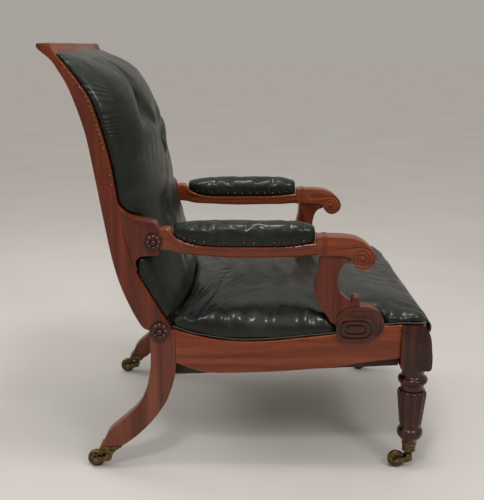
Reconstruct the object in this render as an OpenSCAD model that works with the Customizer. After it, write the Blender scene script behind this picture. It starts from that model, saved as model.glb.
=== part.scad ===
// Upholstered library armchair with sabre rear legs, reeded front legs and swivelling casters.
// +X points to the front, +Y to the sitter's left and +Z up, with the floor at Z = 0.

/* [Side frames] */
// Half width over the side frames at the rear posts
rear_half_w = 312; // [296:1:326]
// Outward turn of each side frame towards the front, in degrees
splay = 1.6; // [0.8:0.1:2.4]
// Thickness of the stiles, rear legs, brackets and arm supports
frame_t = 36; // [32:1:40]
// Height of the stile tops
back_h = 998; // [970:1:1030]
// Height of the joint between each stile and its rear leg
joint_z = 355; // [345:1:362]
// Front-to-back width of the rear post
post_w = 59; // [54:1:64]
// Horizontal lean of the stile behind the rear post
stile_lean = 220; // [200:1:240]
// Horizontal sweep of the sabre leg behind the rear post
leg_run = 130; // [118:1:142]
// Place of the rear post's front face
post_x = -165; // [-175:1:-150]

/* [Seat frame] */
// Length of the side rails between rear post and front block
rail_len = 521; // [490:1:550]
// Thickness of the show-wood rails
rail_t = 28; // [24:1:30]
// Height of the front block's top and the front end of the rails
rail_top_z = 372; // [364:1:380]
// Dip of the side rails' top edge
rail_dip = 43; // [34:1:48]
// Lowest height of the side rails
rail_low_z = 251; // [246:1:258]
// Rise of the side rails' lower edge at the front block
rail_arch = 40; // [30:1:46]
// Thickness of the inner rails that carry the webbing
inner_t = 22; // [18:1:26]
// Height of the inner rails' lower edge at the back
inner_rear_z = 236; // [230:1:242]
// Height of the inner rails' lower edge at the front
inner_front_z = 262; // [258:1:266]
// Height of the inner rails' level top edge
inner_top_z = 322; // [314:1:326]
// Front-to-back thickness of the rear rail and front rail
cross_t = 30; // [26:1:34]
// Leg of each triangular corner block
corner_leg = 62; // [50:1:75]
// Thickness of each corner block
corner_t = 38; // [30:1:44]

/* [Front legs] */
// Front-to-back depth of the front block
block_d = 72; // [68:1:76]
// Side-to-side width of the front block
block_w = 70; // [66:1:74]
// Distance of the leg's centre inside the side frame's outer face
leg_inset = 28; // [26:1:30]
// Setback of the block's rounded top front edge
block_round = 22; // [14:1:28]
// Height of the block's lower end
block_low_z = 262; // [256:1:266]
// Largest radius of the turned rings
ring_r = 35; // [33:0.5:37]
// Radius of the reeded taper over the reeds, at its top
reed_top_r = 35; // [33:0.5:36]
// Radius of the reeded taper over the reeds, at its foot
reed_foot_r = 26; // [24:0.5:27]
// Number of reeds round the leg
reed_count = 10; // [8:1:12]

/* [Arms] */
// Height of the arm's underside over the support
arm_z = 536.5; // [528:0.5:546]
// Depth of the arm behind its scroll
arm_d = 43; // [40:1:47]
// Width of the arm at its scroll
arm_w = 46; // [42:1:50]
// Width of the arm's platform under the pad
platform_w = 60; // [56:1:64]
// Outward bow of the platform
arm_bow = 7; // [4:1:10]
// Thickness of the wood under the pad
platform_t = 25.2; // [23:0.1:28]
// Radius of the scroll at its front
scroll_r = 30; // [27:1:32]
// Distance of the scroll's centre below the top of the arm
scroll_drop = 49.7; // [46:0.1:53]
// Setback of the arm support's foot behind the front block
support_back = 98; // [92:1:104]
// Half length of the support's oval foot
foot_a = 55; // [50:1:60]
// Half height of the support's oval foot
foot_b = 41; // [39:1:46]
// Distance of the foot's centre above the top of the front block
foot_lift = 4; // [3:1:10]
// Width of the support's neck
neck_w = 50; // [45:1:55]
// Thickness of the carved oval on the foot
patera_t = 11; // [8:1:14]
// Setback of the joint between bracket and arm behind the rear post's front face
bracket_back = 33; // [28:1:38]
// Radius of the arm rosette
arm_rosette_r = 20.5; // [18:0.5:22]
// Radius of the seat rosette
seat_rosette_r = 23; // [20:0.5:25]

/* [Upholstery] */
// Crown of the back above the stiles' front edges
back_puff = 98; // [85:1:110]
// Height of the back upholstery's lower edge
back_low_z = 384; // [380:1:392]
// Depth of the button tufts
tuft_d = 17; // [10:1:22]
// Crown of the seat above its edges along the centre
seat_crown = 88; // [76:1:96]
// Height of the seat's side wall shoulder above the rail dip
seat_wall = 62; // [54:1:70]
// Height of an arm pad above its platform
pad_h = 52; // [44:1:58]
// Amount by which a pad bulges past its platform's edge
pad_bulge = 2; // [1:0.5:4]
// Thickness of the leather on the outside back
cover_t = 3; // [2:0.5:4]

/* [Seat inside] */
// Width of the webbing straps
strap_w = 50; // [44:1:56]
// Thickness of the webbing straps
strap_t = 1.6; // [1.2:0.1:2]
// Wire diameter of the seat springs
wire_d = 4; // [3.5:0.25:4.5]
// Largest coil radius of the seat springs
spring_r = 38; // [34:1:42]
// Number of curls in each spring
spring_curls = 4; // [3:1:5]
// Thickness of the canvas over the springs
canvas_t = 1.5; // [1:0.25:2]

/* [Nails] */
// Radius of the brass nail heads
nail_r = 3.4; // [2.8:0.2:4]
// Spacing of the nails up the back
back_nail_gap = 20; // [16:1:26]
// Spacing of the nails round the arm pads
pad_nail_gap = 22; // [18:1:28]
/* [Casters] */
// Wheel radius
wheel_r = 21; // [19:0.5:22]
// Wheel width
wheel_w = 15; // [13:0.5:17]
// Trail of the axle behind the swivel
trail = 30; // [29.5:0.5:33]
// Axle radius
axle_r = 3; // [2.5:0.25:3.5]
// Radius of the swivel pin
pivot_r = 4; // [3.5:0.25:4.5]
// Thickness of the horn's cheeks
cheek_t = 3.5; // [3:0.25:4.5]
// Height of the caster cup's underside
cup_z = 43; // [43:0.5:46]
// Thickness of the cup's floor
cup_floor = 4; // [3:0.5:5]
// Wall of the cups
cup_wall = 2; // [1.5:0.25:2.5]
// Height of the front cups
front_cup_h = 23; // [20:1:25]
// Height of the rear cups
rear_cup_h = 16; // [14:1:18]

/* [Hidden] */

mahogany = [0.40, 0.15, 0.08];
dark_mahogany = [0.26, 0.10, 0.07];
beech = [0.16, 0.12, 0.10];
green_leather = [0.10, 0.15, 0.13];
brass = [0.55, 0.44, 0.18];
jute = [0.55, 0.45, 0.30];
steel = [0.35, 0.35, 0.36];

// Running clearance round axles and swivel pins
fit_gap = 0.05;
// Clearance of soft parts from the wood
soft_gap = 0.4;
// Overrun of cutting shapes
over = 5;
// Segments between two outline points
curve_steps = 4;
round_fn = 48;

// Places that follow from the sizes above
block_x = post_x + rail_len;
leg_x = block_x + block_d / 2;
support_x = block_x - support_back;
foot_z = cup_z + cup_floor + 3;
toe_x = post_x - 0.68 * post_w - leg_run;
arm_top_z = arm_z + arm_d;
scroll_z = arm_top_z - scroll_drop;
arm_back_x = post_x - bracket_back;
scroll_x = support_x;
arm_len = scroll_x - arm_back_x;
platform_z = arm_z + 0.9 * platform_t;
axle_z = wheel_r;

// Smooth curve through points
function curve_point(a, b, c, d, t) =
    0.5 * (2 * b + (c - a) * t + (2 * a - 5 * b + 4 * c - d) * t * t + (3 * b - 3 * c + d - a) * t * t * t);
function curve(p, steps = curve_steps) = concat(
    [for (i = [0 : len(p) - 2], s = [0 : steps - 1])
        curve_point(p[max(i - 1, 0)], p[i], p[i + 1], p[min(i + 2, len(p) - 1)], s / steps)],
    [p[len(p) - 1]]);
function reversed(p) = [for (i = [len(p) - 1 : -1 : 0]) p[i]];
function shifted(p, dx, dz = 0) = [for (q = p) [q[0] + dx, q[1] + dz]];
function oval(a, b, power = 2.6, n = 48) = [for (i = [0 : n - 1])
    let (c = cos(i * 360 / n), s = sin(i * 360 / n))
    [a * sign(c) * pow(abs(c), 2 / power), b * sign(s) * pow(abs(s), 2 / power)]];
// Half width of the chair at x, measured to a plane inset from the side frame's outer face
function side_y(x, inset) = rear_half_w + (x - post_x) * tan(splay) - inset / cos(splay);
// Place in the chair of a point on a side frame
function on_side_xy(x, inset, side) = [
    post_x + (x - post_x) * cos(splay) + inset * sin(splay),
    side * (rear_half_w + (x - post_x) * sin(splay) - inset * cos(splay))];

// Draws children, which have their outer face at y = 0, on the left (1) or right (-1) side frame
module on_side(side) {
    mirror([0, side < 0 ? 1 : 0, 0])
        translate([post_x, rear_half_w, 0]) rotate([0, 0, splay]) translate([-post_x, 0, 0]) children();
}
// Extrudes an x-z outline from one inset to another
module slab(from, to) {
    rotate([90, 0, 0]) translate([0, 0, from]) linear_extrude(to - from) children();
}
// Extrudes an x-z outline across the chair and trims its ends to the side frames
module across(inset, x0, x1) {
    w = 2 * rear_half_w + 2 * rail_len;
    intersection() {
        slab(-w / 2, w / 2) children();
        linear_extrude(back_h + over)
            polygon([[x0, -side_y(x0, inset)], [x1, -side_y(x1, inset)], [x1, side_y(x1, inset)], [x0, side_y(x0, inset)]]);
    }
}
// Closed skin over rings that all have the same number of points, each end closed by a fan
function middle(ring) = [for (k = [0 : 2]) [for (p = ring) p[k]] * [for (p = ring) 1 / len(ring)]];
module loft(rings) {
    n = len(rings[0]);
    m = len(rings);
    sides = [for (i = [0 : m - 2], j = [0 : n - 1], k = [0 : 1])
        let (a = i * n + j, b = i * n + (j + 1) % n, c = a + n, d = b + n)
        k == 0 ? [a, d, b] : [a, c, d]];
    ends = [for (j = [0 : n - 1], k = [0 : 1])
        k == 0 ? [j, (j + 1) % n, m * n] : [(m - 1) * n + (j + 1) % n, (m - 1) * n + j, m * n + 1]];
    polyhedron(concat([for (r = rings, p = r) p], [middle(rings[0]), middle(rings[m - 1])]),
        concat(sides, ends), convexity = 10);
}

// Stile: columns are shares of the post width, the lean and the rise
stile_back_shares = [[1, 0.01, 0], [1, 0.073, 0.011], [1, 0.127, 0.04], [1, 0.186, 0.079], [1, 0.277, 0.154],
    [1, 0.341, 0.227], [1, 0.386, 0.30], [1, 0.455, 0.442], [1, 0.518, 0.58], [1, 0.59, 0.715],
    [1, 0.718, 0.848], [1, 0.816, 0.911], [1, 0.883, 0.945], [1, 0.972, 0.971], [1, 1.012, 0.985], [0.99, 1.015, 0.998]];
stile_front_shares = [[0.12, 0, 0], [0.12, 0.132, 0.079], [0.12, 0.264, 0.156], [0.12, 0.373, 0.227],
    [0.12, 0.436, 0.299], [0.12, 0.482, 0.372], [0.12, 0.518, 0.442], [0.12, 0.555, 0.537],
    [0.12, 0.595, 0.614], [0.12, 0.668, 0.715], [0.12, 0.75, 0.807], [0.12, 0.85, 0.866],
    [0.12, 0.964, 0.919], [0.12, 1.068, 0.964], [0.12, 1.118, 1]];
function stile_points(shares) = [for (s = shares)
    [post_x - s[0] * post_w - s[1] * stile_lean, joint_z + s[2] * (back_h - joint_z)]];
stile_back = curve(stile_points(stile_back_shares));
stile_front = curve(stile_points(stile_front_shares));
stile_outline = concat(stile_back, reversed(stile_front));
stile_front_table = [for (p = stile_front) [p[1], p[0]]];
function stile_front_x(z) = lookup(z, stile_front_table);

module stile(side) {
    color(mahogany) on_side(side) slab(0, frame_t) polygon(stile_outline);
}

// Part of the stile's outline above a height
module stile_top(z) {
    intersection() {
        polygon(stile_outline);
        translate([post_x - post_w - 2 * stile_lean, z]) square([post_w + 2 * stile_lean, back_h]);
    }
}

crest_h = 62;
module crest_rail() {
    color(mahogany) across(frame_t, post_x - post_w - stile_lean - over, post_x) stile_top(back_h - crest_h);
}

bottom_rail_h = 46;
bottom_rail_t = 26;
bottom_rail_z = back_low_z - 16;
module back_bottom_rail() {
    z0 = bottom_rail_z;
    z1 = z0 + bottom_rail_h;
    color(beech) across(frame_t, post_x - post_w - stile_lean, post_x)
        polygon([[stile_front_x(z0) - bottom_rail_t, z0], [stile_front_x(z0), z0],
            [stile_front_x(z1), z1], [stile_front_x(z1) - bottom_rail_t, z1]]);
}

// Outside back: one leather panel set just inside the stiles' back edges
cover_set = 2;
cover_edge_share = 0.035;
module back_cover() {
    rise = back_h - joint_z;
    rear = [for (p = stile_back)
        if (p[1] > joint_z + cover_edge_share * rise && p[1] < back_h - crest_h) p];
    color(green_leather) across(frame_t, post_x - post_w - stile_lean - over, post_x)
        polygon(concat(shifted(rear, cover_set), reversed(shifted(rear, cover_set + cover_t))));
}

// Back upholstery: crown shares by height share
back_top_z = back_h - 15;
back_crown_shares = [[0, 0.5], [0.05, 0.76], [0.12, 0.95], [0.2, 1.04], [0.28, 1.06], [0.36, 1.03],
    [0.43, 1], [0.5, 0.98], [0.58, 0.96], [0.66, 0.94], [0.74, 0.93], [0.82, 0.92], [0.88, 0.9],
    [0.92, 0.85], [0.955, 0.72], [0.98, 0.5], [1, 0.16]];
back_edge_inset = 3;
back_rows = 34;
back_columns = 22;
// Buttons: shares of the half width and of the upholstery's height, and how far each clears the middle of its
// dimple as a share of the tuft's depth
button_shares = [[-0.40, 0.80, 0.205], [0.40, 0.80, 0.205], [0, 0.60, 0.155], [-0.40, 0.37, 0.265], [0.40, 0.37, 0.265]];
tuft_spread = 46;
function back_rear_x(z, inset) = stile_front_x(z) + soft_gap + inset * sin(splay);
function back_half_w(z) = side_y(stile_front_x(z), back_edge_inset);
function back_z(s) = back_low_z + s * (back_top_z - back_low_z);
function tuft(y, z) = tuft_d * max([for (b = button_shares)
    let (zb = back_z(b[1]), r = norm([y - b[0] * back_half_w(zb), (z - zb) * 0.8]) / tuft_spread)
    exp(-r * r * 4)]);
function back_front_x(y, z) =
    let (s = (z - back_low_z) / (back_top_z - back_low_z), u = min(1, abs(y) / back_half_w(z)))
    stile_front_x(z) + soft_gap + back_puff * lookup(s, back_crown_shares) * sqrt(1 - pow(u, 2.4)) - tuft(y, z);
function back_ring(s) =
    let (z = back_z(s), w = back_half_w(z))
    concat(
        [for (j = [0 : back_columns]) let (y = -w * cos(j * 180 / back_columns)) [back_front_x(y, z) + (abs(y) < w ? 0 : 2), y, z]],
        [for (q = [[back_edge_inset, 1], [frame_t, 1], [frame_t, -1], [back_edge_inset, -1]])
            [back_rear_x(z, q[0]), q[1] * (w + back_edge_inset - q[0]), z]]);
module back_cushion() {
    color(green_leather) difference() {
        loft([for (i = [0 : back_rows]) back_ring(1 - pow(1 - i / back_rows, 1.25))]);
        for (side = [-1, 1]) on_side(side) slab(-over, frame_t + soft_gap) polygon(bracket_outline(2 * soft_gap));
    }
}

// Button: a lens that sits in its dimple, square to the leather
button_r = 8;
button_t = 7;
button_ball = (pow(button_r, 2) + pow(button_t / 2, 2)) / button_t;
module back_buttons() {
    color(green_leather) for (b = button_shares) {
        z = back_z(b[1]);
        y = b[0] * back_half_w(z);
        slope = (back_front_x(y, z + button_r) - back_front_x(y, z - button_r)) / (2 * button_r);
        lean = (back_front_x(y + button_r, z) - back_front_x(y - button_r, z)) / (2 * button_r);
        translate([back_front_x(y, z), y, z]) rotate([0, 0, -atan(lean)]) rotate([0, 90 + atan(slope), 0])
            translate([0, 0, button_t / 2 + b[2] * tuft_d]) intersection() {
                translate([0, 0, button_ball - button_t / 2]) sphere(r = button_ball, $fn = round_fn);
                translate([0, 0, button_t / 2 - button_ball]) sphere(r = button_ball, $fn = round_fn);
            }
    }
}

// Bracket between stile and arm: heights are shares above and below the arm's depth
bracket_rise = 75;
bracket_drop = 39;
bracket_top_shares = [[0, 1], [0.04, 0.88], [0.13, 0.76], [0.24, 0.64], [0.37, 0.56], [0.52, 0.49],
    [0.70, 0.46], [0.84, 0.43], [0.94, 0.36], [1, 0.2]];
bracket_low_shares = [[0, 1], [0.08, 0.97], [0.10, 0.64], [0.18, 0.36], [0.33, 0.17], [0.5, 0.10], [1, 0.05]];
bracket_root = 3;
function bracket_point(s, z, grow, back) = let (x0 = stile_front_x(z))
    [x0 + s * (arm_back_x - x0) + (s > 0 ? grow : -back - bracket_root), z];
function bracket_outline(grow) = concat(
    curve([for (s = bracket_top_shares)
        bracket_point(s[0], arm_top_z + s[1] * bracket_rise + (s[0] > 0 ? grow : 5 * grow), grow, grow)]),
    reversed(curve([for (s = bracket_low_shares) bracket_point(s[0], arm_z - s[1] * bracket_drop - grow, grow, grow)])));
// The stile's front edge closes the bracket's back
bracket_table = [for (s = [0 : 8]) let (z = arm_top_z + bracket_rise - s / 8 * (arm_d + bracket_rise + bracket_drop)) [stile_front_x(z), z]];
moulding_w = 8;
moulding_t = 3;
module bracket(side) {
    rim = curve([for (s = bracket_top_shares) bracket_point(s[0], arm_top_z + s[1] * bracket_rise, 0, 0)]);
    color(mahogany) on_side(side) difference() {
        union() {
            slab(0, frame_t) polygon(bracket_outline(0));
            slab(-moulding_t, 0) intersection() {
                polygon(concat(rim, reversed(shifted(rim, 0, -moulding_w))));
                polygon(bracket_outline(0));
            }
        }
        slab(-over, frame_t + over) polygon(stile_outline);
    }
}

// Carved rosette: a dished disc with petals round a boss, its back at y = 0
petal_count = 8;
module rosette(r) {
    rotate([-90, 0, 0]) {
        cylinder(h = r * 0.22, r = r, $fn = round_fn);
        for (i = [0 : petal_count - 1]) rotate(i * 360 / petal_count)
            translate([r * 0.62, 0, r * 0.1]) sphere(r = r * 0.33, $fn = 32);
        translate([0, 0, r * 0.12]) sphere(r = r * 0.38, $fn = 32);
    }
}
// Keeps the half space outside a side frame's face
module outside_face() {
    intersection() {
        children();
        translate([post_x - stile_lean, 0, 0]) cube([stile_lean + rail_len, 2 * frame_t, back_h]);
    }
}
arm_rosette_z = arm_z + arm_d * 0.65;
module arm_rosettes() {
    color(dark_mahogany) for (side = [-1, 1]) on_side(side) outside_face()
        translate([arm_back_x - arm_rosette_r * 0.6, 0, arm_rosette_z]) rosette(arm_rosette_r);
}
module seat_rosettes() {
    color(dark_mahogany) for (side = [-1, 1]) on_side(side) outside_face()
        translate([post_x - post_w * 0.62, 0, joint_z - 0.08 * seat_rosette_r]) rosette(seat_rosette_r);
}

// Sabre leg: columns are shares of the post width, the run and the drop
leg_back_shares = [[1, 0, 1], [1, 0, 0.82], [1, 0.008, 0.72], [1, 0.038, 0.625], [1, 0.10, 0.518],
    [1, 0.177, 0.436], [1, 0.277, 0.368], [1, 0.408, 0.31], [1, 0.60, 0.235], [1, 0.777, 0.17],
    [1, 0.86, 0.125], [1, 0.93, 0.06], [1, 1, 0], [1, 1.03, -0.03]];
leg_front_shares = [[0, 0, 1], [0, 0, 0.82], [0, 0.008, 0.684], [0, 0.038, 0.619], [0, 0.077, 0.55],
    [0, 0.13, 0.485], [0, 0.19, 0.42], [0, 0.29, 0.352], [0, 0.40, 0.283], [0, 0.535, 0.216],
    [0, 0.68, 0.152], [0, 0.83, 0.096], [0.1, 0.95, 0.045], [0.36, 1, 0], [0.40, 1.03, -0.03]];
function leg_points(shares) = [for (s = shares)
    [post_x - s[0] * post_w - s[1] * leg_run, foot_z + s[2] * (joint_z - foot_z)]];
function leg_outline(grow) = concat(
    shifted(curve(leg_points(leg_back_shares)), -grow), reversed(shifted(curve(leg_points(leg_front_shares)), grow)));
// Slice of an x-z outline between two heights
module slice(z0, z1) {
    intersection() {
        children();
        translate([post_x - 2 * stile_lean, z0]) square([2 * stile_lean, z1 - z0]);
    }
}
module rear_leg(side) {
    color(mahogany) on_side(side) slab(0, frame_t) slice(foot_z, joint_z) polygon(leg_outline(0));
}

// Side rail: x as shares of its length, z as shares of the dip and of the arch
rail_top_shares = [[0, 0.34], [0.021, 0.45], [0.065, 0.59], [0.109, 0.73], [0.153, 0.84], [0.197, 0.92], [0.242, 0.974],
    [0.3, 1], [0.374, 0.985], [0.4626, 0.9], [0.55, 0.777], [0.639, 0.653], [0.698, 0.56], [0.8, 0.34], [0.9, 0.09], [1, 0]];
rail_low_shares = [[0, 0.62], [0.017, 0.527], [0.04, 0.405], [0.062, 0.285], [0.084, 0.19], [0.107, 0.12], [0.129, 0.06],
    [0.196, 0], [0.33, 0.05], [0.464, 0.1375], [0.555, 0.24], [0.643, 0.345], [0.731, 0.48], [0.82, 0.7], [0.908, 0.87], [1, 1]];
rail_top = curve([for (s = rail_top_shares) [post_x + s[0] * rail_len, rail_top_z - s[1] * rail_dip]]);
rail_low = curve([for (s = rail_low_shares) [post_x + s[0] * rail_len, rail_low_z + s[1] * rail_arch]]);
rail_top_table = [for (p = rail_top) [p[0], p[1]]];
module side_rail(side) {
    color(mahogany) on_side(side) slab(0, rail_t) polygon(concat(rail_low, reversed(rail_top)));
}

web_slope = (inner_front_z - inner_rear_z) / rail_len;
inner_run = 12;
module inner_rail(side) {
    color(beech) on_side(side) difference() {
        slab(rail_t, rail_t + inner_t) polygon([[post_x - inner_run, inner_rear_z - inner_run * web_slope],
            [block_x, inner_front_z], [block_x, inner_top_z], [post_x - inner_run, inner_top_z]]);
        slab(-over, frame_t) polygon(leg_outline(soft_gap));
    }
}

block_in = leg_inset + block_w / 2;
front_rail_x = block_x + block_d - cross_t - 2;
front_rail_z = inner_rear_z + web_slope * (front_rail_x + cross_t - post_x);
front_rail_face_x = front_rail_x + cross_t;
// The leather turns over a bevel on the rail's top edge
rail_bevel = 14;
module front_rail() {
    color(mahogany) across(block_in, front_rail_x, front_rail_face_x)
        polygon([[front_rail_x, front_rail_z], [front_rail_face_x, front_rail_z],
            [front_rail_face_x, rail_top_z - rail_bevel], [front_rail_face_x - rail_bevel, rail_top_z],
            [front_rail_x, rail_top_z]]);
}

rear_rail_x = post_x - post_w / 2 - cross_t / 2;
// The back arrises at its two ends are chamfered
rear_rail_chamfer = 4;
module rear_rail() {
    front = rear_rail_x + cross_t;
    ends = [for (p = [[rear_rail_x, frame_t + rear_rail_chamfer], [rear_rail_x + rear_rail_chamfer, frame_t], [front, frame_t]])
        [p[0], side_y(p[0], p[1])]];
    color(beech) translate([0, 0, inner_rear_z]) linear_extrude(inner_top_z - inner_rear_z)
        polygon(concat(ends, reversed([for (p = ends) [p[0], -p[1]]])));
}

// Triangular blocks glued into the four corners of the seat frame
module corner_block(x, inset, leg, side) {
    s = sign(leg);
    translate([0, 0, inner_top_z - corner_t]) linear_extrude(corner_t) polygon([
        [x, side * side_y(x, inset)],
        [x + leg, side * side_y(x + leg, inset)],
        [x, side * (side_y(x, inset) - abs(leg))]]);
}
module corner_blocks() {
    color(beech) for (side = [-1, 1]) {
        corner_block(post_x, rail_t + inner_t, corner_leg, side);
        corner_block(front_rail_x, block_in, -0.6 * corner_leg, side);
    }
}

// Front block: x as shares of the setback, z as shares of the block's height
block_front_shares = [[1, 1], [0.86, 0.985], [0.62, 0.91], [0.42, 0.83], [0.22, 0.69], [0.09, 0.46], [0, 0.28],
    [0.03, 0.06], [0.3, 0]];
block_h = rail_top_z - block_low_z;
block_outline = concat(
    [[block_x + 0.3 * block_round, block_low_z], [block_x, block_low_z + 0.06 * block_h], [block_x, rail_top_z]],
    curve([for (s = block_front_shares) [block_x + block_d - s[0] * block_round, block_low_z + s[1] * block_h]]));

// Turned profile: radius as a share of the ring radius, z as a share from cup top to block
turned_shares = [[0.50, 0], [0.515, 0.02], [0.66, 0.06], [0.82, 0.095], [0.875, 0.135], [0.83, 0.18], [0.70, 0.205],
    [0.68, 0.235], [0.62, 0.26], [0.60, 0.68], [0.76, 0.71], [0.78, 0.75], [0.85, 0.785], [0.97, 0.81],
    [1, 0.835], [0.96, 0.86], [0.80, 0.885], [0.745, 0.91], [0.77, 0.945], [0.9, 1]];
cup_top_z = cup_z + front_cup_h;
spigot_r = ring_r * 0.43;
module turned_leg() {
    h = block_low_z - cup_top_z;
    rotate_extrude($fn = round_fn) polygon(concat(
        [[0, foot_z], [spigot_r * 0.9, foot_z], [spigot_r, cup_top_z]],
        curve([for (s = turned_shares) [s[0] * ring_r, cup_top_z + s[1] * h]], 3),
        [[0.9 * ring_r, block_low_z + 1], [0, block_low_z + 1]]));
}
// Reeded taper: one body with lobes round it, each with a rounded top
reed_rows = [[0.215, 0.55, 0], [0.225, 0.9, 0.5], [0.245, 1, 0.9], [0.3, 1, 1], [0.45, 1, 1], [0.6, 1, 1], [0.652, 0.995, 1],
    [0.672, 0.97, 0.95], [0.688, 0.92, 0.8], [0.698, 0.84, 0.5], [0.702, 0.6, 0]];
reed_depth = 0.17;
reed_steps = 6;
function reed_r(s) = reed_foot_r + (reed_top_r - reed_foot_r) * (s - 0.22) / 0.44;
function reed_ring(row) = [for (i = [0 : reed_count * reed_steps - 1])
    let (a = i * 360 / (reed_count * reed_steps), lobe = abs(sin(a * reed_count / 2)),
        r = reed_r(row[0]) * row[1] * (1 - reed_depth * row[2] * (1 - lobe)))
    [r * cos(a), r * sin(a), cup_top_z + row[0] * (block_low_z - cup_top_z)]];
module reeds() {
    loft([for (row = reed_rows) reed_ring(row)]);
}
module front_leg(side) {
    color(dark_mahogany) on_side(side) {
        slab(leg_inset - block_w / 2, leg_inset + block_w / 2) polygon(block_outline);
        translate([leg_x, -leg_inset, 0]) {
            turned_leg();
            reeds();
        }
    }
}

// Arm: its underside as shares of its length, its top as shares of the step between platform and front
arm_low_table = [[0, 0.02], [0.03, 0.0185], [0.06, 0.0165], [0.105, 0.0068], [0.154, 0.0018], [0.204, 0.0007], [0.301, -0.0064],
    [0.4, -0.0105], [0.5, -0.009], [0.6, -0.0075], [0.66, -0.008], [0.7, -0.0055], [0.74, -0.002], [0.8, -0.002]];
arm_top_table = [[0, 1.7], [0.0088, 1.754], [0.033, 1.813], [0.0526, 1.714], [0.062, 1.389], [0.077, 1.02], [0.087, 0.818],
    [0.107, 0.63], [0.132, 0.4], [0.166, 0.2], [0.22, 0.06], [0.3, 0], [0.62, 0], [0.68, 0.1], [0.72, 0.2], [0.771, 0.3],
    [0.7765, 0.97], [0.8, 0.97]];
arm_stations = [0, 0.0088, 0.033, 0.0526, 0.062, 0.077, 0.087, 0.107, 0.132, 0.166, 0.22, 0.3, 0.4, 0.5, 0.6, 0.66, 0.7, 0.74,
    0.771, 0.7765];
// Last section of the loft, which ends inside the arm's front
arm_tuck = 2.5;
front_start_x = arm_back_x + 0.774 * arm_len;
arm_width_table = [[0, 0], [0.035, 0], [0.07, 0.4], [0.12, 0.85], [0.2, 1], [0.62, 1], [0.7, 0.9], [0.77, 0.52]];
// Half section of the arm: shares of the half width and of the depth
arm_section = [[0.93, 1], [0.985, 0.95], [1, 0.86], [0.985, 0.76], [0.93, 0.7], [0.9, 0.5], [0.84, 0.2], [0.68, 0.04], [0.3, 0]];
function arm_low(s) = arm_z + arm_len * lookup(s, arm_low_table);
function arm_top(s) = platform_z + (arm_top_z - platform_z) * lookup(s, arm_top_table);
function arm_half(s) = (frame_t + (platform_w - frame_t) * lookup(s, arm_width_table)) / 2;
function bow(s) = arm_bow * sin(180 * max(0, min(1, (s - 0.035) / 0.8)));
function arm_ring(s) =
    let (h = arm_half(s), z0 = arm_low(s), d = arm_top(s) - z0, x = arm_back_x + s * arm_len, y = bow(s) - frame_t / 2)
    concat([for (p = arm_section) [x, y - p[0] * h, z0 + p[1] * d]],
        [for (p = reversed(arm_section)) [x, y + p[0] * h, z0 + p[1] * d]]);
function tucked_ring(s) =
    let (h = arm_w / 2 - arm_tuck, z0 = arm_z + arm_tuck, d = arm_d - 2 * arm_tuck, x = arm_back_x + s * arm_len, y = -frame_t / 2)
    concat([for (p = arm_section) [x, y - p[0] * h, z0 + p[1] * d]],
        [for (p = reversed(arm_section)) [x, y + p[0] * h, z0 + p[1] * d]]);
// Scroll: x as shares of its radius, z as shares of its drop
scroll_shares = [[-2.44, 1], [-2.0, 1], [-1.337, 0.98], [-0.593, 0.914], [-0.07, 0.8], [0.383, 0.616], [0.77, 0.388],
    [0.97, 0.157], [1.007, -0.028], [0.887, -0.263], [0.603, -0.426], [0.16, -0.522], [-0.29, -0.452], [-0.6, -0.267],
    [-0.76, -0.104], [-0.9, 0.03], [-1.3, 0.115], [-1.9, 0.137]];
scroll_low_z = scroll_z + 0.137 * scroll_drop;
scroll_outline = curve(concat([[front_start_x, arm_top_z]],
    [for (s = scroll_shares) [scroll_x + s[0] * scroll_r, scroll_z + s[1] * scroll_drop]], [[front_start_x, scroll_low_z]]), 3);
groove_w = 2.4;
groove_t = 2;
volute_turns = 2.5;
volute_steps = 56;
function volute_r(t) = scroll_r * (0.93 - 0.275 * t);
function volute(r_off) = [for (i = [0 : volute_steps]) let (t = i / volute_steps * volute_turns, r = volute_r(t) - r_off, a = 90 - 360 * t)
    [scroll_x + r * cos(a), scroll_z + r * sin(a)]];
lead_shares = [[-1.95, 0.79], [-1.31, 0.825], [-0.793, 0.9], [-0.353, 0.955]];
function lead_in(z_off) = [for (s = lead_shares) [scroll_x + s[0] * scroll_r, scroll_z + s[1] * scroll_r - z_off]];
module volute_groove() {
    polygon(concat(lead_in(0), volute(0), reversed(volute(groove_w)), reversed(lead_in(groove_w))));
}
arm_out = (frame_t - arm_w) / 2;
// Three beads round the arm where its front begins
collar_r = 2;
collar_x = scroll_x - 2.8 * scroll_r;
module arm(side) {
    color(mahogany) on_side(side) {
        loft(concat([for (s = arm_stations) arm_ring(s)], [tucked_ring(0.8)]));
        difference() {
            slab(arm_out, arm_out + arm_w) polygon(scroll_outline);
            slab(arm_out - over, arm_out + groove_t) volute_groove();
            slab(arm_out + arm_w - groove_t, arm_out + arm_w + over) volute_groove();
        }
        for (y = [-arm_out, -arm_out - arm_w]) {
            translate([scroll_x, y, scroll_z]) sphere(r = 0.16 * scroll_r, $fn = 32);
            for (i = [-1 : 1]) translate([collar_x + 1.8 * i * collar_r, y, arm_z + collar_r])
                cylinder(h = arm_d - 2 * collar_r, r = collar_r, $fn = 24);
        }
        for (i = [-1 : 1]) translate([collar_x + 1.8 * i * collar_r, -arm_out, arm_top_z]) rotate([90, 0, 0])
            cylinder(h = arm_w, r = collar_r, $fn = 24);
    }
}

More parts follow.
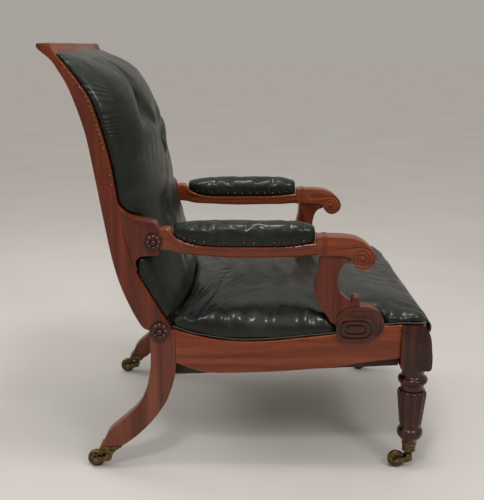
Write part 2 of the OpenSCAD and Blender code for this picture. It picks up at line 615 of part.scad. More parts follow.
// Arm support: columns are shares of the foot's half length, of the neck and of the height
support_front_shares = [[0.35, 0, 1], [0.413, 0, 0.93], [0.493, 0, 0.905], [0.655, 0, 0.885], [0.811, 0, 0.833],
    [0.887, 0, 0.773], [0.942, 0, 0.699], [0.975, 0, 0.61], [0.949, 0, 0.535], [0.86, 0, 0.46], [0.689, 0, 0.4],
    [0.478, 0, 0.34], [0.2, 0, 0.26]];
support_back_shares = [[0.78, 1, 1], [0.789, 1, 0.979], [0.804, 1, 0.905], [0.818, 1, 0.817], [0.873, 1, 0.712],
    [0.947, 1, 0.608], [0.982, 1, 0.502], [0.955, 1, 0.412], [0.844, 1, 0.306], [0.673, 1, 0.208], [0.458, 1, 0.109],
    [0.285, 1, 0.018], [0.03, 1, -0.035]];
foot_z0 = rail_top_z + foot_lift;
function support_points(shares) = [for (s = shares)
    [support_x - s[0] * foot_a - s[1] * neck_w, foot_z0 + s[2] * (arm_z - foot_z0)]];
module support_shape(grow) {
    polygon(concat(shifted(curve(support_points(support_front_shares), 3), grow),
        reversed(shifted(curve(support_points(support_back_shares), 3), -grow))));
    translate([support_x, foot_z0]) polygon(oval(foot_a + grow, foot_b + grow, 2.3));
    translate([support_x - 0.17 * foot_a, foot_z0 + 1.17 * foot_b]) polygon(oval(0.165 * foot_a + grow, 0.34 * foot_b + grow, 2.4));
}
// The side rail and everything below its top edge
module below_rail() {
    polygon(concat([[post_x, 0], [block_x, 0]], reversed(rail_top)));
}
module arm_support(side) {
    color(dark_mahogany) on_side(side) difference() {
        slab(0, frame_t) intersection() {
            support_shape(0);
            translate([post_x, 0]) square([rail_len, arm_z]);
        }
        slab(-over, frame_t + over) below_rail();
        slab(-over, frame_t + over) polygon(scroll_outline);
    }
}

// Carved foot: two crescents that follow the foot's top and front, over three nested rounded rectangles.
// Columns: half length, half height and thickness as shares
crescent_shares = [[1, 0.94, 0.75], [0.84, 0.78, 0.55]];
crescent_w = 0.13;
nest_shares = [[0.79, 0.71, 1], [0.57, 0.46, 0.85], [0.36, 0.2, 0.85]];
nest_bead = 6;
nest_x = -0.19;
nest_z = -0.27;
module shifted_oval(a, b, x, z, power) {
    translate([x * foot_a, z * foot_b]) polygon(oval(a, b, power));
}
module support_pateras() {
    color(dark_mahogany) for (side = [-1, 1]) on_side(side) translate([support_x, 0, foot_z0]) {
        slab(-0.4 * patera_t, 0) polygon(oval(foot_a, foot_b, 2.3));
        for (c = crescent_shares) slab(-c[2] * patera_t, 0) difference() {
            shifted_oval(c[0] * foot_a, c[1] * foot_b, 0, 0, 2.3);
            shifted_oval(c[0] * foot_a, c[1] * foot_b, -crescent_w, -crescent_w, 2.3);
            shifted_oval(foot_a, foot_b, -1.1, 0, 2.3);
        }
        for (c = nest_shares) slab(-c[2] * patera_t, 0) difference() {
            shifted_oval(c[0] * foot_a, c[1] * foot_b, nest_x, nest_z, 3.2);
            if (c[1] > 0.2) shifted_oval(c[0] * foot_a - nest_bead, c[1] * foot_b - nest_bead, nest_x, nest_z, 3.2);
        }
    }
}

// Arm pad: rows are shares of the length, of the width and of the height
pad_shares = [[0.93, 0.91, 0], [0.96, 0.955, 0.05], [0.98, 0.985, 0.16], [0.985, 1, 0.34], [0.985, 1, 0.52],
    [0.975, 0.985, 0.68], [0.94, 0.93, 0.81], [0.84, 0.8, 0.915], [0.68, 0.55, 0.975], [0.4, 0.2, 1]];
pad_x = arm_back_x + 0.42 * arm_len;
pad_half = 0.353 * arm_len;
pad_half_w = platform_w / 2 + pad_bulge;
pad_power = 3.6;
pad_lift = 0.8;
function pad_base_z(x) = arm_top((x - arm_back_x) / arm_len) + pad_lift;
function pad_ring(s) = [for (p = oval(s[0] * pad_half, s[1] * pad_half_w, pad_power, 40))
    let (x = pad_x + p[0], z0 = pad_base_z(x))
    [x, p[1] - frame_t / 2 + bow((x - arm_back_x) / arm_len), z0 + s[2] * (platform_z + pad_h - z0)]];
module arm_pad(side) {
    color(green_leather) on_side(side) loft([for (s = pad_shares) pad_ring(s)]);
}

// Domed nail head with its flat side at z = 0
module nail() {
    intersection() {
        translate([0, 0, -0.45 * nail_r]) sphere(r = 1.1 * nail_r, $fn = 24);
        cylinder(h = nail_r, r = nail_r, $fn = 24);
    }
}
module back_nails() {
    n = floor((back_top_z - bracket_top_z - 2 * back_nail_gap) / back_nail_gap);
    color(brass) for (side = [-1, 1]) on_side(side) for (i = [0 : n]) {
        z = bracket_top_z + (i + 1) * back_nail_gap;
        translate([stile_front_x(z) - 1.5 * nail_r, 0, z]) rotate([-90, 0, 0]) nail();
    }
}
bracket_top_z = arm_top_z + bracket_rise;
// Nails follow the pad's oval, square to it
module pad_nails() {
    n = floor(0.84 * pad_half / pad_nail_gap);
    color(brass) for (side = [-1, 1]) on_side(side) for (i = [-n : n], e = [-1, 1]) {
        t = abs(i * pad_nail_gap) / (0.975 * pad_half);
        w = pow(1 - pow(t, pad_power), 1 / pad_power);
        turn = sign(i) * atan2(pow(t, pad_power - 1) / pad_half, pow(w, pad_power - 1) / pad_half_w);
        x = pad_x + i * pad_nail_gap;
        translate([x, bow((x - arm_back_x) / arm_len) - frame_t / 2 + e * w * pad_half_w, pad_base_z(x) + 2.4 * nail_r])
            rotate([0, 0, -e * turn]) rotate([-e * 90, 0, 0]) translate([0, 0, soft_gap]) nail();
    }
}

// Seat upholstery: rows give inset, follow (0 = rail top, 1 = level), lift, and the front edge's x and z
seat_rear_x = stile_front_x(joint_z) + soft_gap + frame_t * sin(splay);
// Top edge of the side rail, run on to the seat's rear end
rail_line = concat([[seat_rear_x, rail_top[0][1] + (rail_top[0][1] - rail_top[1][1]) / (rail_top[1][0] - rail_top[0][0])
    * (post_x - seat_rear_x)]], rail_top_table);
// Hollow that the back upholstery stands in
back_clear = 3 * soft_gap;
back_spread = 8 * soft_gap;
function back_bed_ring(z) =
    let (w = back_half_w(z), k = 1 + back_spread / w)
    concat(
        [for (j = [0 : back_columns]) let (y = -w * cos(j * 180 / back_columns)) [back_front_x(y, z) + back_clear, k * y, z]],
        [[post_x - 2 * post_w, k * w, z], [post_x - 2 * post_w, -k * w, z]]);
module back_bed() {
    loft([for (i = [0 : 10]) back_bed_ring(back_low_z - back_clear + i / 10 * seat_crown)]);
}
seat_under_z = inner_top_z + canvas_t + soft_gap;
seat_low_z = rail_top_z - rail_dip;
front_face_x = block_x + block_d;
seat_front = 16;
seat_lap = 42;
seat_rows = [
    [rail_t + soft_gap, 1, seat_under_z, front_rail_x - soft_gap, seat_under_z],
    [rail_t + soft_gap, 0, 2.8 * soft_gap, front_rail_x - soft_gap, rail_top_z + soft_gap],
    [3, 0, 2.8 * soft_gap, front_rail_face_x - rail_bevel + soft_gap, rail_top_z + soft_gap],
    [2.8, 0, 0.04 * seat_wall, front_rail_face_x + soft_gap, rail_top_z - rail_bevel + soft_gap],
    [2.6, 0, 0.07 * seat_wall, front_rail_face_x + soft_gap, rail_top_z - seat_lap],
    [1.6, 0, 0.14 * seat_wall, front_face_x + 0.7 * seat_front, rail_top_z - seat_lap - 2],
    [0.4, 0, 0.22 * seat_wall, front_face_x + seat_front, rail_top_z - 0.78 * seat_lap],
    [-0.6, 0.2, 0.38 * seat_wall, front_face_x + 0.62 * seat_front, rail_top_z - 0.46 * seat_lap],
    [-0.2, 0.6, 0.66 * seat_wall, front_face_x, rail_top_z - 0.1 * seat_lap],
    [3, 0.85, 0.86 * seat_wall, front_face_x - 0.75 * seat_front, rail_top_z + 0.15 * seat_wall],
    [12, 1, seat_low_z + 1.0 * seat_wall, front_face_x - 1.6 * seat_front, rail_top_z + 0.36 * seat_wall],
    [34, 1, seat_low_z + 1.13 * seat_wall, front_face_x - 2.7 * seat_front, rail_top_z + 0.5 * seat_wall],
    [78, 1, seat_low_z + 0.9 * seat_crown, front_face_x - 5.2 * seat_front, seat_low_z + 0.92 * seat_crown],
    [140, 1, seat_low_z + 0.97 * seat_crown, front_face_x - 9.5 * seat_front, seat_low_z + 0.975 * seat_crown],
    [220, 1, seat_low_z + seat_crown, front_face_x - 16 * seat_front, seat_low_z + seat_crown]];
seat_side_n = 13;
seat_front_n = 14;
seat_rear_n = 6;
// Places along the front edge as shares of its half length, with one at each end of the front rail
function front_share(j, x, w) =
    let (c = min(0.93, (side_y(x, block_in) + soft_gap) / w), m = seat_front_n / 2 - 2, k = j - seat_front_n / 2, i = abs(k))
    sign(k) * (i <= m ? c * i / m : i == m + 1 ? (1 + c) / 2 : 1);
// Share of the front edge's own form, which fades out over the front blocks
function lap(y, x) = let (t = 1 - max(0, min(1, (abs(y) - side_y(x, block_in) - 2 * soft_gap) / 24))) t * t * (3 - 2 * t);
function seat_z(row, x) =
    (row[1] == 1 ? row[2] : (1 - row[1]) * (lookup(x, rail_line)) + row[1] * seat_low_z + row[2]);
function seat_ring(row) =
    let (
        xs = front_rail_x + cross_t - 2 - max(0, row[0] - 3) * 1.0,
        xr = row[1] == 1 && row[2] > rail_top_z ? seat_rear_x + row[0] - 3 : row[0] > rail_t ? post_x + 6.5 : seat_rear_x,
        rc = 22)
    concat(
        // right side, from the back to the front
        [for (i = [0 : seat_side_n]) let (x = xr + (min(xs, row[3]) - rc - xr) * i / seat_side_n)
            [x, -side_y(x, row[0]), seat_z(row, x)]],
        // front edge, from right to left
        [for (j = [0 : seat_front_n]) let (
            yw = side_y(xs, row[0]) - 4,
            a = front_share(j, xs, yw),
            y = a * yw,
            f = lap(y, xs),
            e = pow(abs(a), 8),
            x = (1 - f) * (min(xs, row[3]) - 9 * e) + f * row[3])
            [x, y, (1 - f) * seat_z(row, x) + f * row[4]]],
        // left side, from the front to the back
        [for (i = [0 : seat_side_n]) let (x = min(xs, row[3]) - rc - (min(xs, row[3]) - rc - xr) * i / seat_side_n)
            [x, side_y(x, row[0]), seat_z(row, x)]],
        // rear edge, from left to right
        [for (i = [1 : seat_rear_n - 1]) let (y = side_y(xr, row[0]) * (1 - 2 * i / seat_rear_n))
            [xr, y, seat_z(row, xr)]]);
module seat_cushion() {
    color(green_leather) difference() {
        loft([for (row = seat_rows) seat_ring(row)]);
        back_bed();
        for (side = [-1, 1]) on_side(side) {
            slab(-over, leg_inset + block_w / 2 + soft_gap) translate([block_x - soft_gap, 0])
                square([block_d + soft_gap * 2, rail_top_z + 1.5 * soft_gap]);
            slab(-over, frame_t + soft_gap) support_shape(soft_gap);
        }
    }
}

// Straps lie in the plane of the inner rails' lower edges
strap_shares = [-0.72, -0.36, 0, 0.36, 0.72];
web_rows = [0.14, 0.32, 0.5, 0.68, 0.86];
web_drop = (rail_t + inner_t) * sin(splay) * web_slope + fit_gap;
module web_plane() {
    translate([post_x, 0, inner_rear_z - web_drop]) rotate([0, -atan(web_slope), 0]) children();
}
module seat_webbing() {
    half = side_y(post_x, rail_t + inner_t);
    color(jute) web_plane() translate([0, 0, -strap_t]) {
        for (s = web_rows) {
            x = s * rail_len;
            w = side_y(post_x + x, rail_t + 4);
            translate([x - strap_w / 2, -w, 0]) cube([strap_w, 2 * w, strap_t]);
        }
        for (s = strap_shares)
            translate([rear_rail_x - post_x + 4, s * half - strap_w / 2, -0.9 * strap_t])
                cube([front_rail_x - rear_rail_x + cross_t - 8, strap_w, strap_t]);
    }
}

// Spring: one tube with six sides that follows an hourglass coil
spring_rows = [web_rows[0], web_rows[2], web_rows[4]];
spring_columns = [strap_shares[0], strap_shares[2], strap_shares[4]];
curl_steps = 7;
function spring_base(x) = inner_rear_z + web_slope * (x - post_x) + spring_r * web_slope;
function spring_pitch(x) = (inner_top_z - spring_base(x) - wire_d - 0.3) / spring_curls;
function coil_r(t) = spring_r * (0.62 + 0.38 * pow(2 * t - 1, 2)) - wire_d / 2;
function coil_ring(i, x) =
    let (t = i / (curl_steps * spring_curls), a = 360 * i / curl_steps, r = coil_r(t),
        z = wire_d / 2 + 0.15 + t * spring_pitch(x) * spring_curls)
    [for (k = [0 : 5]) let (b = -60 * k)
        [(r + cos(b) * wire_d / 2) * cos(a), (r + cos(b) * wire_d / 2) * sin(a), z + sin(b) * wire_d / 2]];
echo(least_gap_between_curls = min([for (s = spring_rows) spring_pitch(post_x + s * rail_len)]) - wire_d);
module seat_springs() {
    half = side_y(post_x, rail_t + inner_t);
    color(steel) for (s = spring_rows, c = spring_columns) {
        x = post_x + s * rail_len;
        translate([x, c * half, spring_base(x)])
            loft([for (i = [0 : curl_steps * spring_curls]) coil_ring(i, x)]);
    }
}
module spring_canvas() {
    color(jute) difference() {
        translate([0, 0, inner_top_z]) linear_extrude(canvas_t) polygon([
            [post_x + 1, -side_y(post_x, rail_t + 1)], [front_rail_x - 1, -side_y(front_rail_x, rail_t + 1)],
            [front_rail_x - 1, side_y(front_rail_x, rail_t + 1)], [post_x + 1, side_y(post_x, rail_t + 1)]]);
        for (side = [-1, 1]) on_side(side) slab(-over, block_in + 1)
            translate([block_x - 1, 0]) square([block_d, rail_top_z]);
    }
}

// Caster places: swivel axes of the front and rear feet
front_axis_x = leg_x;
front_axis_in = leg_inset;
rear_axis_in = frame_t / 2;
module at_foot(front, side) {
    p = front ? on_side_xy(front_axis_x, front_axis_in, side) : on_side_xy(toe_x, rear_axis_in, side);
    translate([p[0], p[1], 0]) children();
}
module cup_front(side) {
    r0 = spigot_r * 0.86;
    color(brass) at_foot(true, side) rotate_extrude($fn = round_fn) polygon([
        [pivot_r + fit_gap, cup_z], [r0 + cup_wall, cup_z], [r0 + cup_wall + 1.4, cup_z + 2], [r0 + cup_wall + 0.4, cup_z + 5],
        [spigot_r + cup_wall, cup_top_z - 4], [spigot_r + cup_wall + 1, cup_top_z - 2], [spigot_r + cup_wall, cup_top_z],
        [spigot_r + fit_gap, cup_top_z], [spigot_r * 0.9 + fit_gap, foot_z],
        [spigot_r * 0.9 + fit_gap - 0.5, cup_z + cup_floor], [pivot_r + fit_gap, cup_z + cup_floor]]);
}
module cup_rear(side) {
    color(brass) difference() {
        on_side(side) difference() {
            slab(-cup_wall, frame_t + cup_wall) slice(cup_z, cup_z + rear_cup_h) polygon(leg_outline(cup_wall + fit_gap));
            slab(-fit_gap, frame_t + fit_gap) slice(cup_z + cup_floor, cup_z + 2 * rear_cup_h) polygon(leg_outline(fit_gap));
        }
        at_foot(false, side) cylinder(h = cup_z + cup_floor + 1, r = pivot_r + fit_gap, $fn = round_fn);
    }
}
side_gap = 0.5;
axial_gap = 0.3;
stem_r = 7.5;
hub_r = axle_r + 3.5;
yoke_half = wheel_w / 2 + side_gap + cheek_t;
module horn(front, side) {
    cheek = [[-trail, axle_z - hub_r], [-stem_r, axle_z - 0.9 * hub_r], [0.6 * stem_r, axle_z - 0.4 * hub_r],
        [stem_r, axle_z + 0.5 * hub_r], [0.8 * stem_r, cup_z - 6], [-0.8 * stem_r, cup_z - 6],
        [-stem_r, axle_z + 1.4 * hub_r], [-1.7 * stem_r, axle_z + 1.05 * hub_r], [-trail, axle_z + hub_r]];
    color(brass) at_foot(front, side) difference() {
        union() {
            difference() {
                union() {
                    slab(-yoke_half, yoke_half) polygon(cheek);
                    translate([-trail, yoke_half, axle_z]) rotate([90, 0, 0])
                        cylinder(h = 2 * yoke_half, r = hub_r, $fn = round_fn);
                }
                slab(-wheel_w / 2 - side_gap, wheel_w / 2 + side_gap)
                    translate([-trail - 2 * wheel_r, 0]) square([2 * wheel_r + trail - stem_r, 3 * wheel_r]);
            }
            translate([0, 0, cup_z - 7]) cylinder(h = 7 - axial_gap, r1 = stem_r, r2 = stem_r + 3, $fn = round_fn);
            cylinder_span(pivot_r, cup_z - 7, cup_z + cup_floor + 1);
            cylinder_span(pivot_r + 2, cup_z + cup_floor + axial_gap, foot_z - axial_gap);
        }
        translate([-trail, yoke_half + over, axle_z]) rotate([90, 0, 0])
            cylinder(h = 2 * yoke_half + 2 * over, r = axle_r + fit_gap, $fn = round_fn);
    }
}
module cylinder_span(r, z0, z1) {
    translate([0, 0, z0]) cylinder(h = z1 - z0, r = r, $fn = round_fn);
}
head_t = 1.4;
module axle(front, side) {
    color(steel) at_foot(front, side) translate([-trail, 0, axle_z]) rotate([90, 0, 0]) {
        translate([0, 0, -yoke_half - head_t]) cylinder(h = 2 * yoke_half + 2 * head_t, r = axle_r, $fn = round_fn);
        for (e = [-1, 1]) translate([0, 0, e > 0 ? yoke_half : -yoke_half - head_t])
            cylinder(h = head_t, r = axle_r + 1.5, $fn = round_fn);
    }
}
module wheel(front, side) {
    h = wheel_w / 2;
    color(brass) at_foot(front, side) translate([-trail, 0, axle_z]) rotate([90, 0, 0])
        rotate_extrude($fn = 72) polygon([
            [axle_r + fit_gap, -h], [hub_r + 1, -h], [hub_r + 2, -h + 2], [wheel_r - 6, -h + 2], [wheel_r - 5, -h + 0.6],
            [wheel_r - 2, -h + 0.8], [wheel_r - 0.4, -0.55 * h], [wheel_r, -0.2 * h], [wheel_r, 0.2 * h],
            [wheel_r - 0.4, 0.55 * h], [wheel_r - 2, h - 0.8], [wheel_r - 5, h - 0.6], [wheel_r - 6, h - 2],
            [hub_r + 2, h - 2], [hub_r + 1, h], [axle_r + fit_gap, h]]);
}

stile(1);  // stile_left
stile(-1);  // stile_right
crest_rail();
back_bottom_rail();
back_cover();
back_cushion();
back_buttons();
bracket(1);  // bracket_left
bracket(-1);  // bracket_right
arm_rosettes();
seat_rosettes();
rear_leg(1);  // rear_leg_left
rear_leg(-1);  // rear_leg_right
side_rail(1);  // side_rail_left
side_rail(-1);  // side_rail_right
inner_rail(1);  // inner_rail_left
inner_rail(-1);  // inner_rail_right
front_rail();
rear_rail();
corner_blocks();
front_leg(1);  // front_leg_left
front_leg(-1);  // front_leg_right
arm(1);  // arm_left
arm(-1);  // arm_right
arm_pad(1);  // arm_pad_left
arm_pad(-1);  // arm_pad_right
arm_support(1);  // arm_support_left
arm_support(-1);  // arm_support_right
support_pateras();
seat_cushion();
seat_webbing();
seat_springs();
spring_canvas();
back_nails();
pad_nails();
cup_front(1);  // cup_front_left
cup_front(-1);  // cup_front_right
cup_rear(1);  // cup_rear_left
cup_rear(-1);  // cup_rear_right
horn(true, 1);  // horn_front_left
horn(true, -1);  // horn_front_right
horn(false, 1);  // horn_rear_left
horn(false, -1);  // horn_rear_right
axle(true, 1);  // axle_front_left
axle(true, -1);  // axle_front_right
axle(false, 1);  // axle_rear_left
axle(false, -1);  // axle_rear_right
wheel(true, 1);  // wheel_front_left
wheel(true, -1);  // wheel_front_right
wheel(false, 1);  // wheel_rear_left
wheel(false, -1);  // wheel_rear_right
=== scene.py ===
"""Dresses the library armchair: hide, polished timber, brass and their small parts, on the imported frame."""
import logging
import math
from collections.abc import Sequence
from dataclasses import dataclass
from enum import Enum

import bmesh
import bpy
import numpy as np
from mathutils import Euler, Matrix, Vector


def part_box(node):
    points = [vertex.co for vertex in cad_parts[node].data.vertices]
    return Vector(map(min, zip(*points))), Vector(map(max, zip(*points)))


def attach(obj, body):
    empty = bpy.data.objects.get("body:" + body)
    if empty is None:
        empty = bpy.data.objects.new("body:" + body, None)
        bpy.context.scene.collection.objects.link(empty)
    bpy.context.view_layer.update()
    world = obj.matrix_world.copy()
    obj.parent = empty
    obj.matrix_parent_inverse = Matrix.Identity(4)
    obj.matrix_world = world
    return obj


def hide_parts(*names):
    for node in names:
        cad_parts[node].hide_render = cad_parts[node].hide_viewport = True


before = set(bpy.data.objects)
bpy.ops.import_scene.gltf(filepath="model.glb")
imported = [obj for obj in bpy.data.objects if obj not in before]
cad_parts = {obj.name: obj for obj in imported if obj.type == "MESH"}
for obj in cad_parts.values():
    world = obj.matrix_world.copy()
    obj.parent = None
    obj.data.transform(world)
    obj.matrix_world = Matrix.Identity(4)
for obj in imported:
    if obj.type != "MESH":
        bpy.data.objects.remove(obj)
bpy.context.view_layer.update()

LOG = logging.getLogger("library_chair")
MM = 0.001
FRAME_BODY = "chair_frame"
SIDES = {"left": 1.0, "right": -1.0}
ENDS = ("front", "rear")
JOINED = 1e-6  # corners nearer than this are one corner
Point = tuple[float, float, float]
Values = dict[str | int, object]
Links = dict[str | int, bpy.types.NodeSocket]


class Axis(Enum):
    """Direction that a timber's grain runs in, as waves of its figure per metre along X, Y and Z."""

    X = (1.6, 30.0, 30.0)
    Y = (30.0, 1.6, 30.0)
    Z = (30.0, 30.0, 1.6)


class Slot(Enum):
    """The record's material slots, passed along with the dressed pieces."""

    MAHOGANY = "mahogany"
    DARK_MAHOGANY = "dark_mahogany"
    BEECH = "beech"
    LEATHER = "green_leather"
    BRASS = "aged_brass"


# ---- colours, nodes and meshes ----


def linear(hex_colour: str) -> tuple[float, float, float, float]:
    """Turns an sRGB hex colour into a linear one.

    Args:
        hex_colour: six hex digits after a hash sign.

    Returns:
        Linear red, green, blue and an alpha of one.
    """
    values = [int(hex_colour[i : i + 2], 16) / 255 for i in (1, 3, 5)]
    r, g, b = (v / 12.92 if v <= 0.04045 else ((v + 0.055) / 1.055) ** 2.4 for v in values)
    return (r, g, b, 1.0)


def add(tree: bpy.types.NodeTree, kind: str, values: Values | None = None, links: Links | None = None,
        stops: Sequence[tuple[float, str]] = (), **settings: object) -> bpy.types.Node:
    """Adds a node with its settings, socket values and incoming links.

    Args:
        tree: node tree that gets the node.
        kind: Blender's type name of the node.
        values: constants by input name or place.
        links: sockets that feed an input, by input name or place.
        stops: rising places and hex colours, for a node with a colour ramp.
        settings: the node's own properties.

    Returns:
        The new node.
    """
    node = tree.nodes.new(kind)
    for name, value in settings.items():
        setattr(node, name, value)
    for number, (place, colour) in enumerate(stops):
        ramp = node.color_ramp.elements
        stop = ramp[number] if number < 2 else ramp.new(place)
        stop.position, stop.color = place, linear(colour)
    for key, value in (values or {}).items():
        node.inputs[key].default_value = value
    for key, socket in (links or {}).items():
        tree.links.new(socket, node.inputs[key])
    return node


def new_object(name: str, mesh: bpy.types.Mesh) -> bpy.types.Object:
    """Links a mesh to the scene as an object at the origin.

    Args:
        name: the object's name.
        mesh: its mesh.

    Returns:
        The new object.
    """
    piece = bpy.data.objects.new(name, mesh)
    bpy.context.scene.collection.objects.link(piece)
    return piece


def shade(mesh: bpy.types.Mesh, angle: float) -> None:
    """Shades a mesh smooth and keeps its crisp edges.

    Args:
        mesh: the mesh.
        angle: degrees between two faces past which their edge stays crisp.
    """
    mesh.polygons.foreach_set("use_smooth", [True] * len(mesh.polygons))
    mesh.set_sharp_from_angle(angle=math.radians(angle))
    mesh.update()


def tube(name: str, path: np.ndarray, radius: float, sides: int, material: bpy.types.Material) -> bpy.types.Object:
    """Makes a closed round rib along a path that runs mostly along X.

    Args:
        name: the piece's name.
        path: n by 3 places in metres.
        radius: the rib's radius.
        sides: points round the rib.
        material: the piece's finish.

    Returns:
        The new object.
    """
    along = np.gradient(path, axis=0)
    along /= np.linalg.norm(along, axis=1)[:, None]
    side = np.cross(along, (0.0, 1.0, 0.0))
    side /= np.linalg.norm(side, axis=1)[:, None]
    other = np.cross(side, along)
    turns = np.linspace(0, 2 * math.pi, sides, endpoint=False)[None, :, None]
    rings = path[:, None, :] + radius * (np.cos(turns) * side[:, None, :] + np.sin(turns) * other[:, None, :])
    points = np.vstack([rings.reshape(-1, 3), rings[0].mean(0), rings[-1].mean(0)])
    last = (len(path) - 1) * sides
    pairs = [(j, (j + 1) % sides) for j in range(sides)]
    faces = [(row + j, row + k, row + sides + k, row + sides + j) for row in range(0, last, sides) for j, k in pairs]
    faces += [(k, j, last + sides) for j, k in pairs]
    faces += [(last + j, last + k, last + sides + 1) for j, k in pairs]
    mesh = bpy.data.meshes.new(name)
    mesh.from_pydata(points.tolist(), [], faces)
    sewn = bmesh.new()
    sewn.from_mesh(mesh)
    bmesh.ops.remove_doubles(sewn, verts=sewn.verts, dist=JOINED)
    bmesh.ops.recalc_face_normals(sewn, faces=sewn.faces)
    sewn.to_mesh(mesh)
    sewn.free()
    mesh.materials.append(material)
    shade(mesh, 35)
    return new_object(name, mesh)


def coordinates(mesh: bpy.types.Mesh) -> np.ndarray:
    """Reads a mesh's points.

    Args:
        mesh: the mesh.

    Returns:
        An n by 3 array.
    """
    flat = np.zeros(len(mesh.vertices) * 3)
    mesh.vertices.foreach_get("co", flat)
    return flat.reshape(-1, 3)


def point_normals(mesh: bpy.types.Mesh) -> np.ndarray:
    """Reads the normals at a mesh's points.

    Args:
        mesh: the mesh.

    Returns:
        An n by 3 array.
    """
    flat = np.zeros(len(mesh.vertices) * 3)
    mesh.vertices.foreach_get("normal", flat)
    return flat.reshape(-1, 3)


def set_coordinates(mesh: bpy.types.Mesh, points: np.ndarray) -> None:
    """Writes a mesh's points from an n by 3 array."""
    mesh.vertices.foreach_set("co", points.ravel())
    mesh.update()


def bake_modifiers(piece: bpy.types.Object) -> None:
    """Turns a piece's modifiers into its plain mesh.

    Args:
        piece: the piece, whose mesh is exchanged.
    """
    bpy.context.view_layer.update()
    evaluated = piece.evaluated_get(bpy.context.evaluated_depsgraph_get())
    mesh = bpy.data.meshes.new_from_object(evaluated)
    piece.modifiers.clear()
    piece.data = mesh


def cad_copy(name: str, node: str, flat: float = 0.4) -> bpy.types.Object:
    """Copies a frame node's mesh with its loose corners joined and its flat faces merged.

    Args:
        name: the copy's name.
        node: the frame node.
        flat: largest angle in degrees between faces that are merged, or zero for none.

    Returns:
        The copy, without materials.
    """
    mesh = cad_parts[node].data.copy()
    mesh.name = name
    mesh.materials.clear()
    sewn = bmesh.new()
    sewn.from_mesh(mesh)
    bmesh.ops.remove_doubles(sewn, verts=sewn.verts, dist=JOINED)
    if flat:
        bmesh.ops.dissolve_limit(sewn, angle_limit=math.radians(flat), verts=sewn.verts, edges=sewn.edges)
    sewn.to_mesh(mesh)
    sewn.free()
    return new_object(name, mesh)


def islands(node: str) -> list[np.ndarray]:
    """Splits a frame node into its loose solids.

    Args:
        node: the frame node.

    Returns:
        The points of each solid.
    """
    sewn = bmesh.new()
    sewn.from_mesh(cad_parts[node].data)
    bmesh.ops.remove_doubles(sewn, verts=sewn.verts, dist=JOINED)
    seen: set[int] = set()
    found = []
    for start in sewn.verts:
        if start.index in seen:
            continue
        stack, members = [start], []
        seen.add(start.index)
        while stack:
            corner = stack.pop()
            members.append(tuple(corner.co))
            for edge in corner.link_edges:
                other = edge.other_vert(corner)
                if other.index not in seen:
                    seen.add(other.index)
                    stack.append(other)
        found.append(np.array(members))
    sewn.free()
    return found


def hand_over(piece: bpy.types.Object, slot: Slot, *replaced: str) -> None:
    """Hands a piece to the frame: the body it moves with and the nodes it stands for.

    Args:
        piece: the finished piece.
        slot: material slot of the record; not used.
        replaced: frame nodes that it stands for.
    """
    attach(piece, FRAME_BODY)
    if replaced:
        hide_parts(*replaced)
    LOG.info("%s: %d faces, on %s", piece.name, len(piece.data.polygons), FRAME_BODY)


# ---- finishes ----


@dataclass(frozen=True)
class Finish:
    """One finish of the chair: its own nodes feed a single shader."""

    name: str

    def nodes(self, tree: bpy.types.NodeTree, place: bpy.types.NodeSocket) -> tuple[Values, Links]:
        """Adds the finish's own nodes.

        Args:
            tree: the material's node tree.
            place: the piece's own coordinates.

        Returns:
            The shader's constants and its incoming sockets.
        """
        raise NotImplementedError

    def material(self) -> bpy.types.Material:
        """Builds the node material.

        Returns:
            The material.
        """
        material = bpy.data.materials.new(self.name)
        material.use_nodes = True
        tree = material.node_tree
        tree.nodes.clear()
        place = add(tree, "ShaderNodeTexCoord").outputs["Object"]
        shader = add(tree, "ShaderNodeBsdfPrincipled", *self.nodes(tree, place))
        add(tree, "ShaderNodeOutputMaterial", links={"Surface": shader.outputs[0]})
        return material


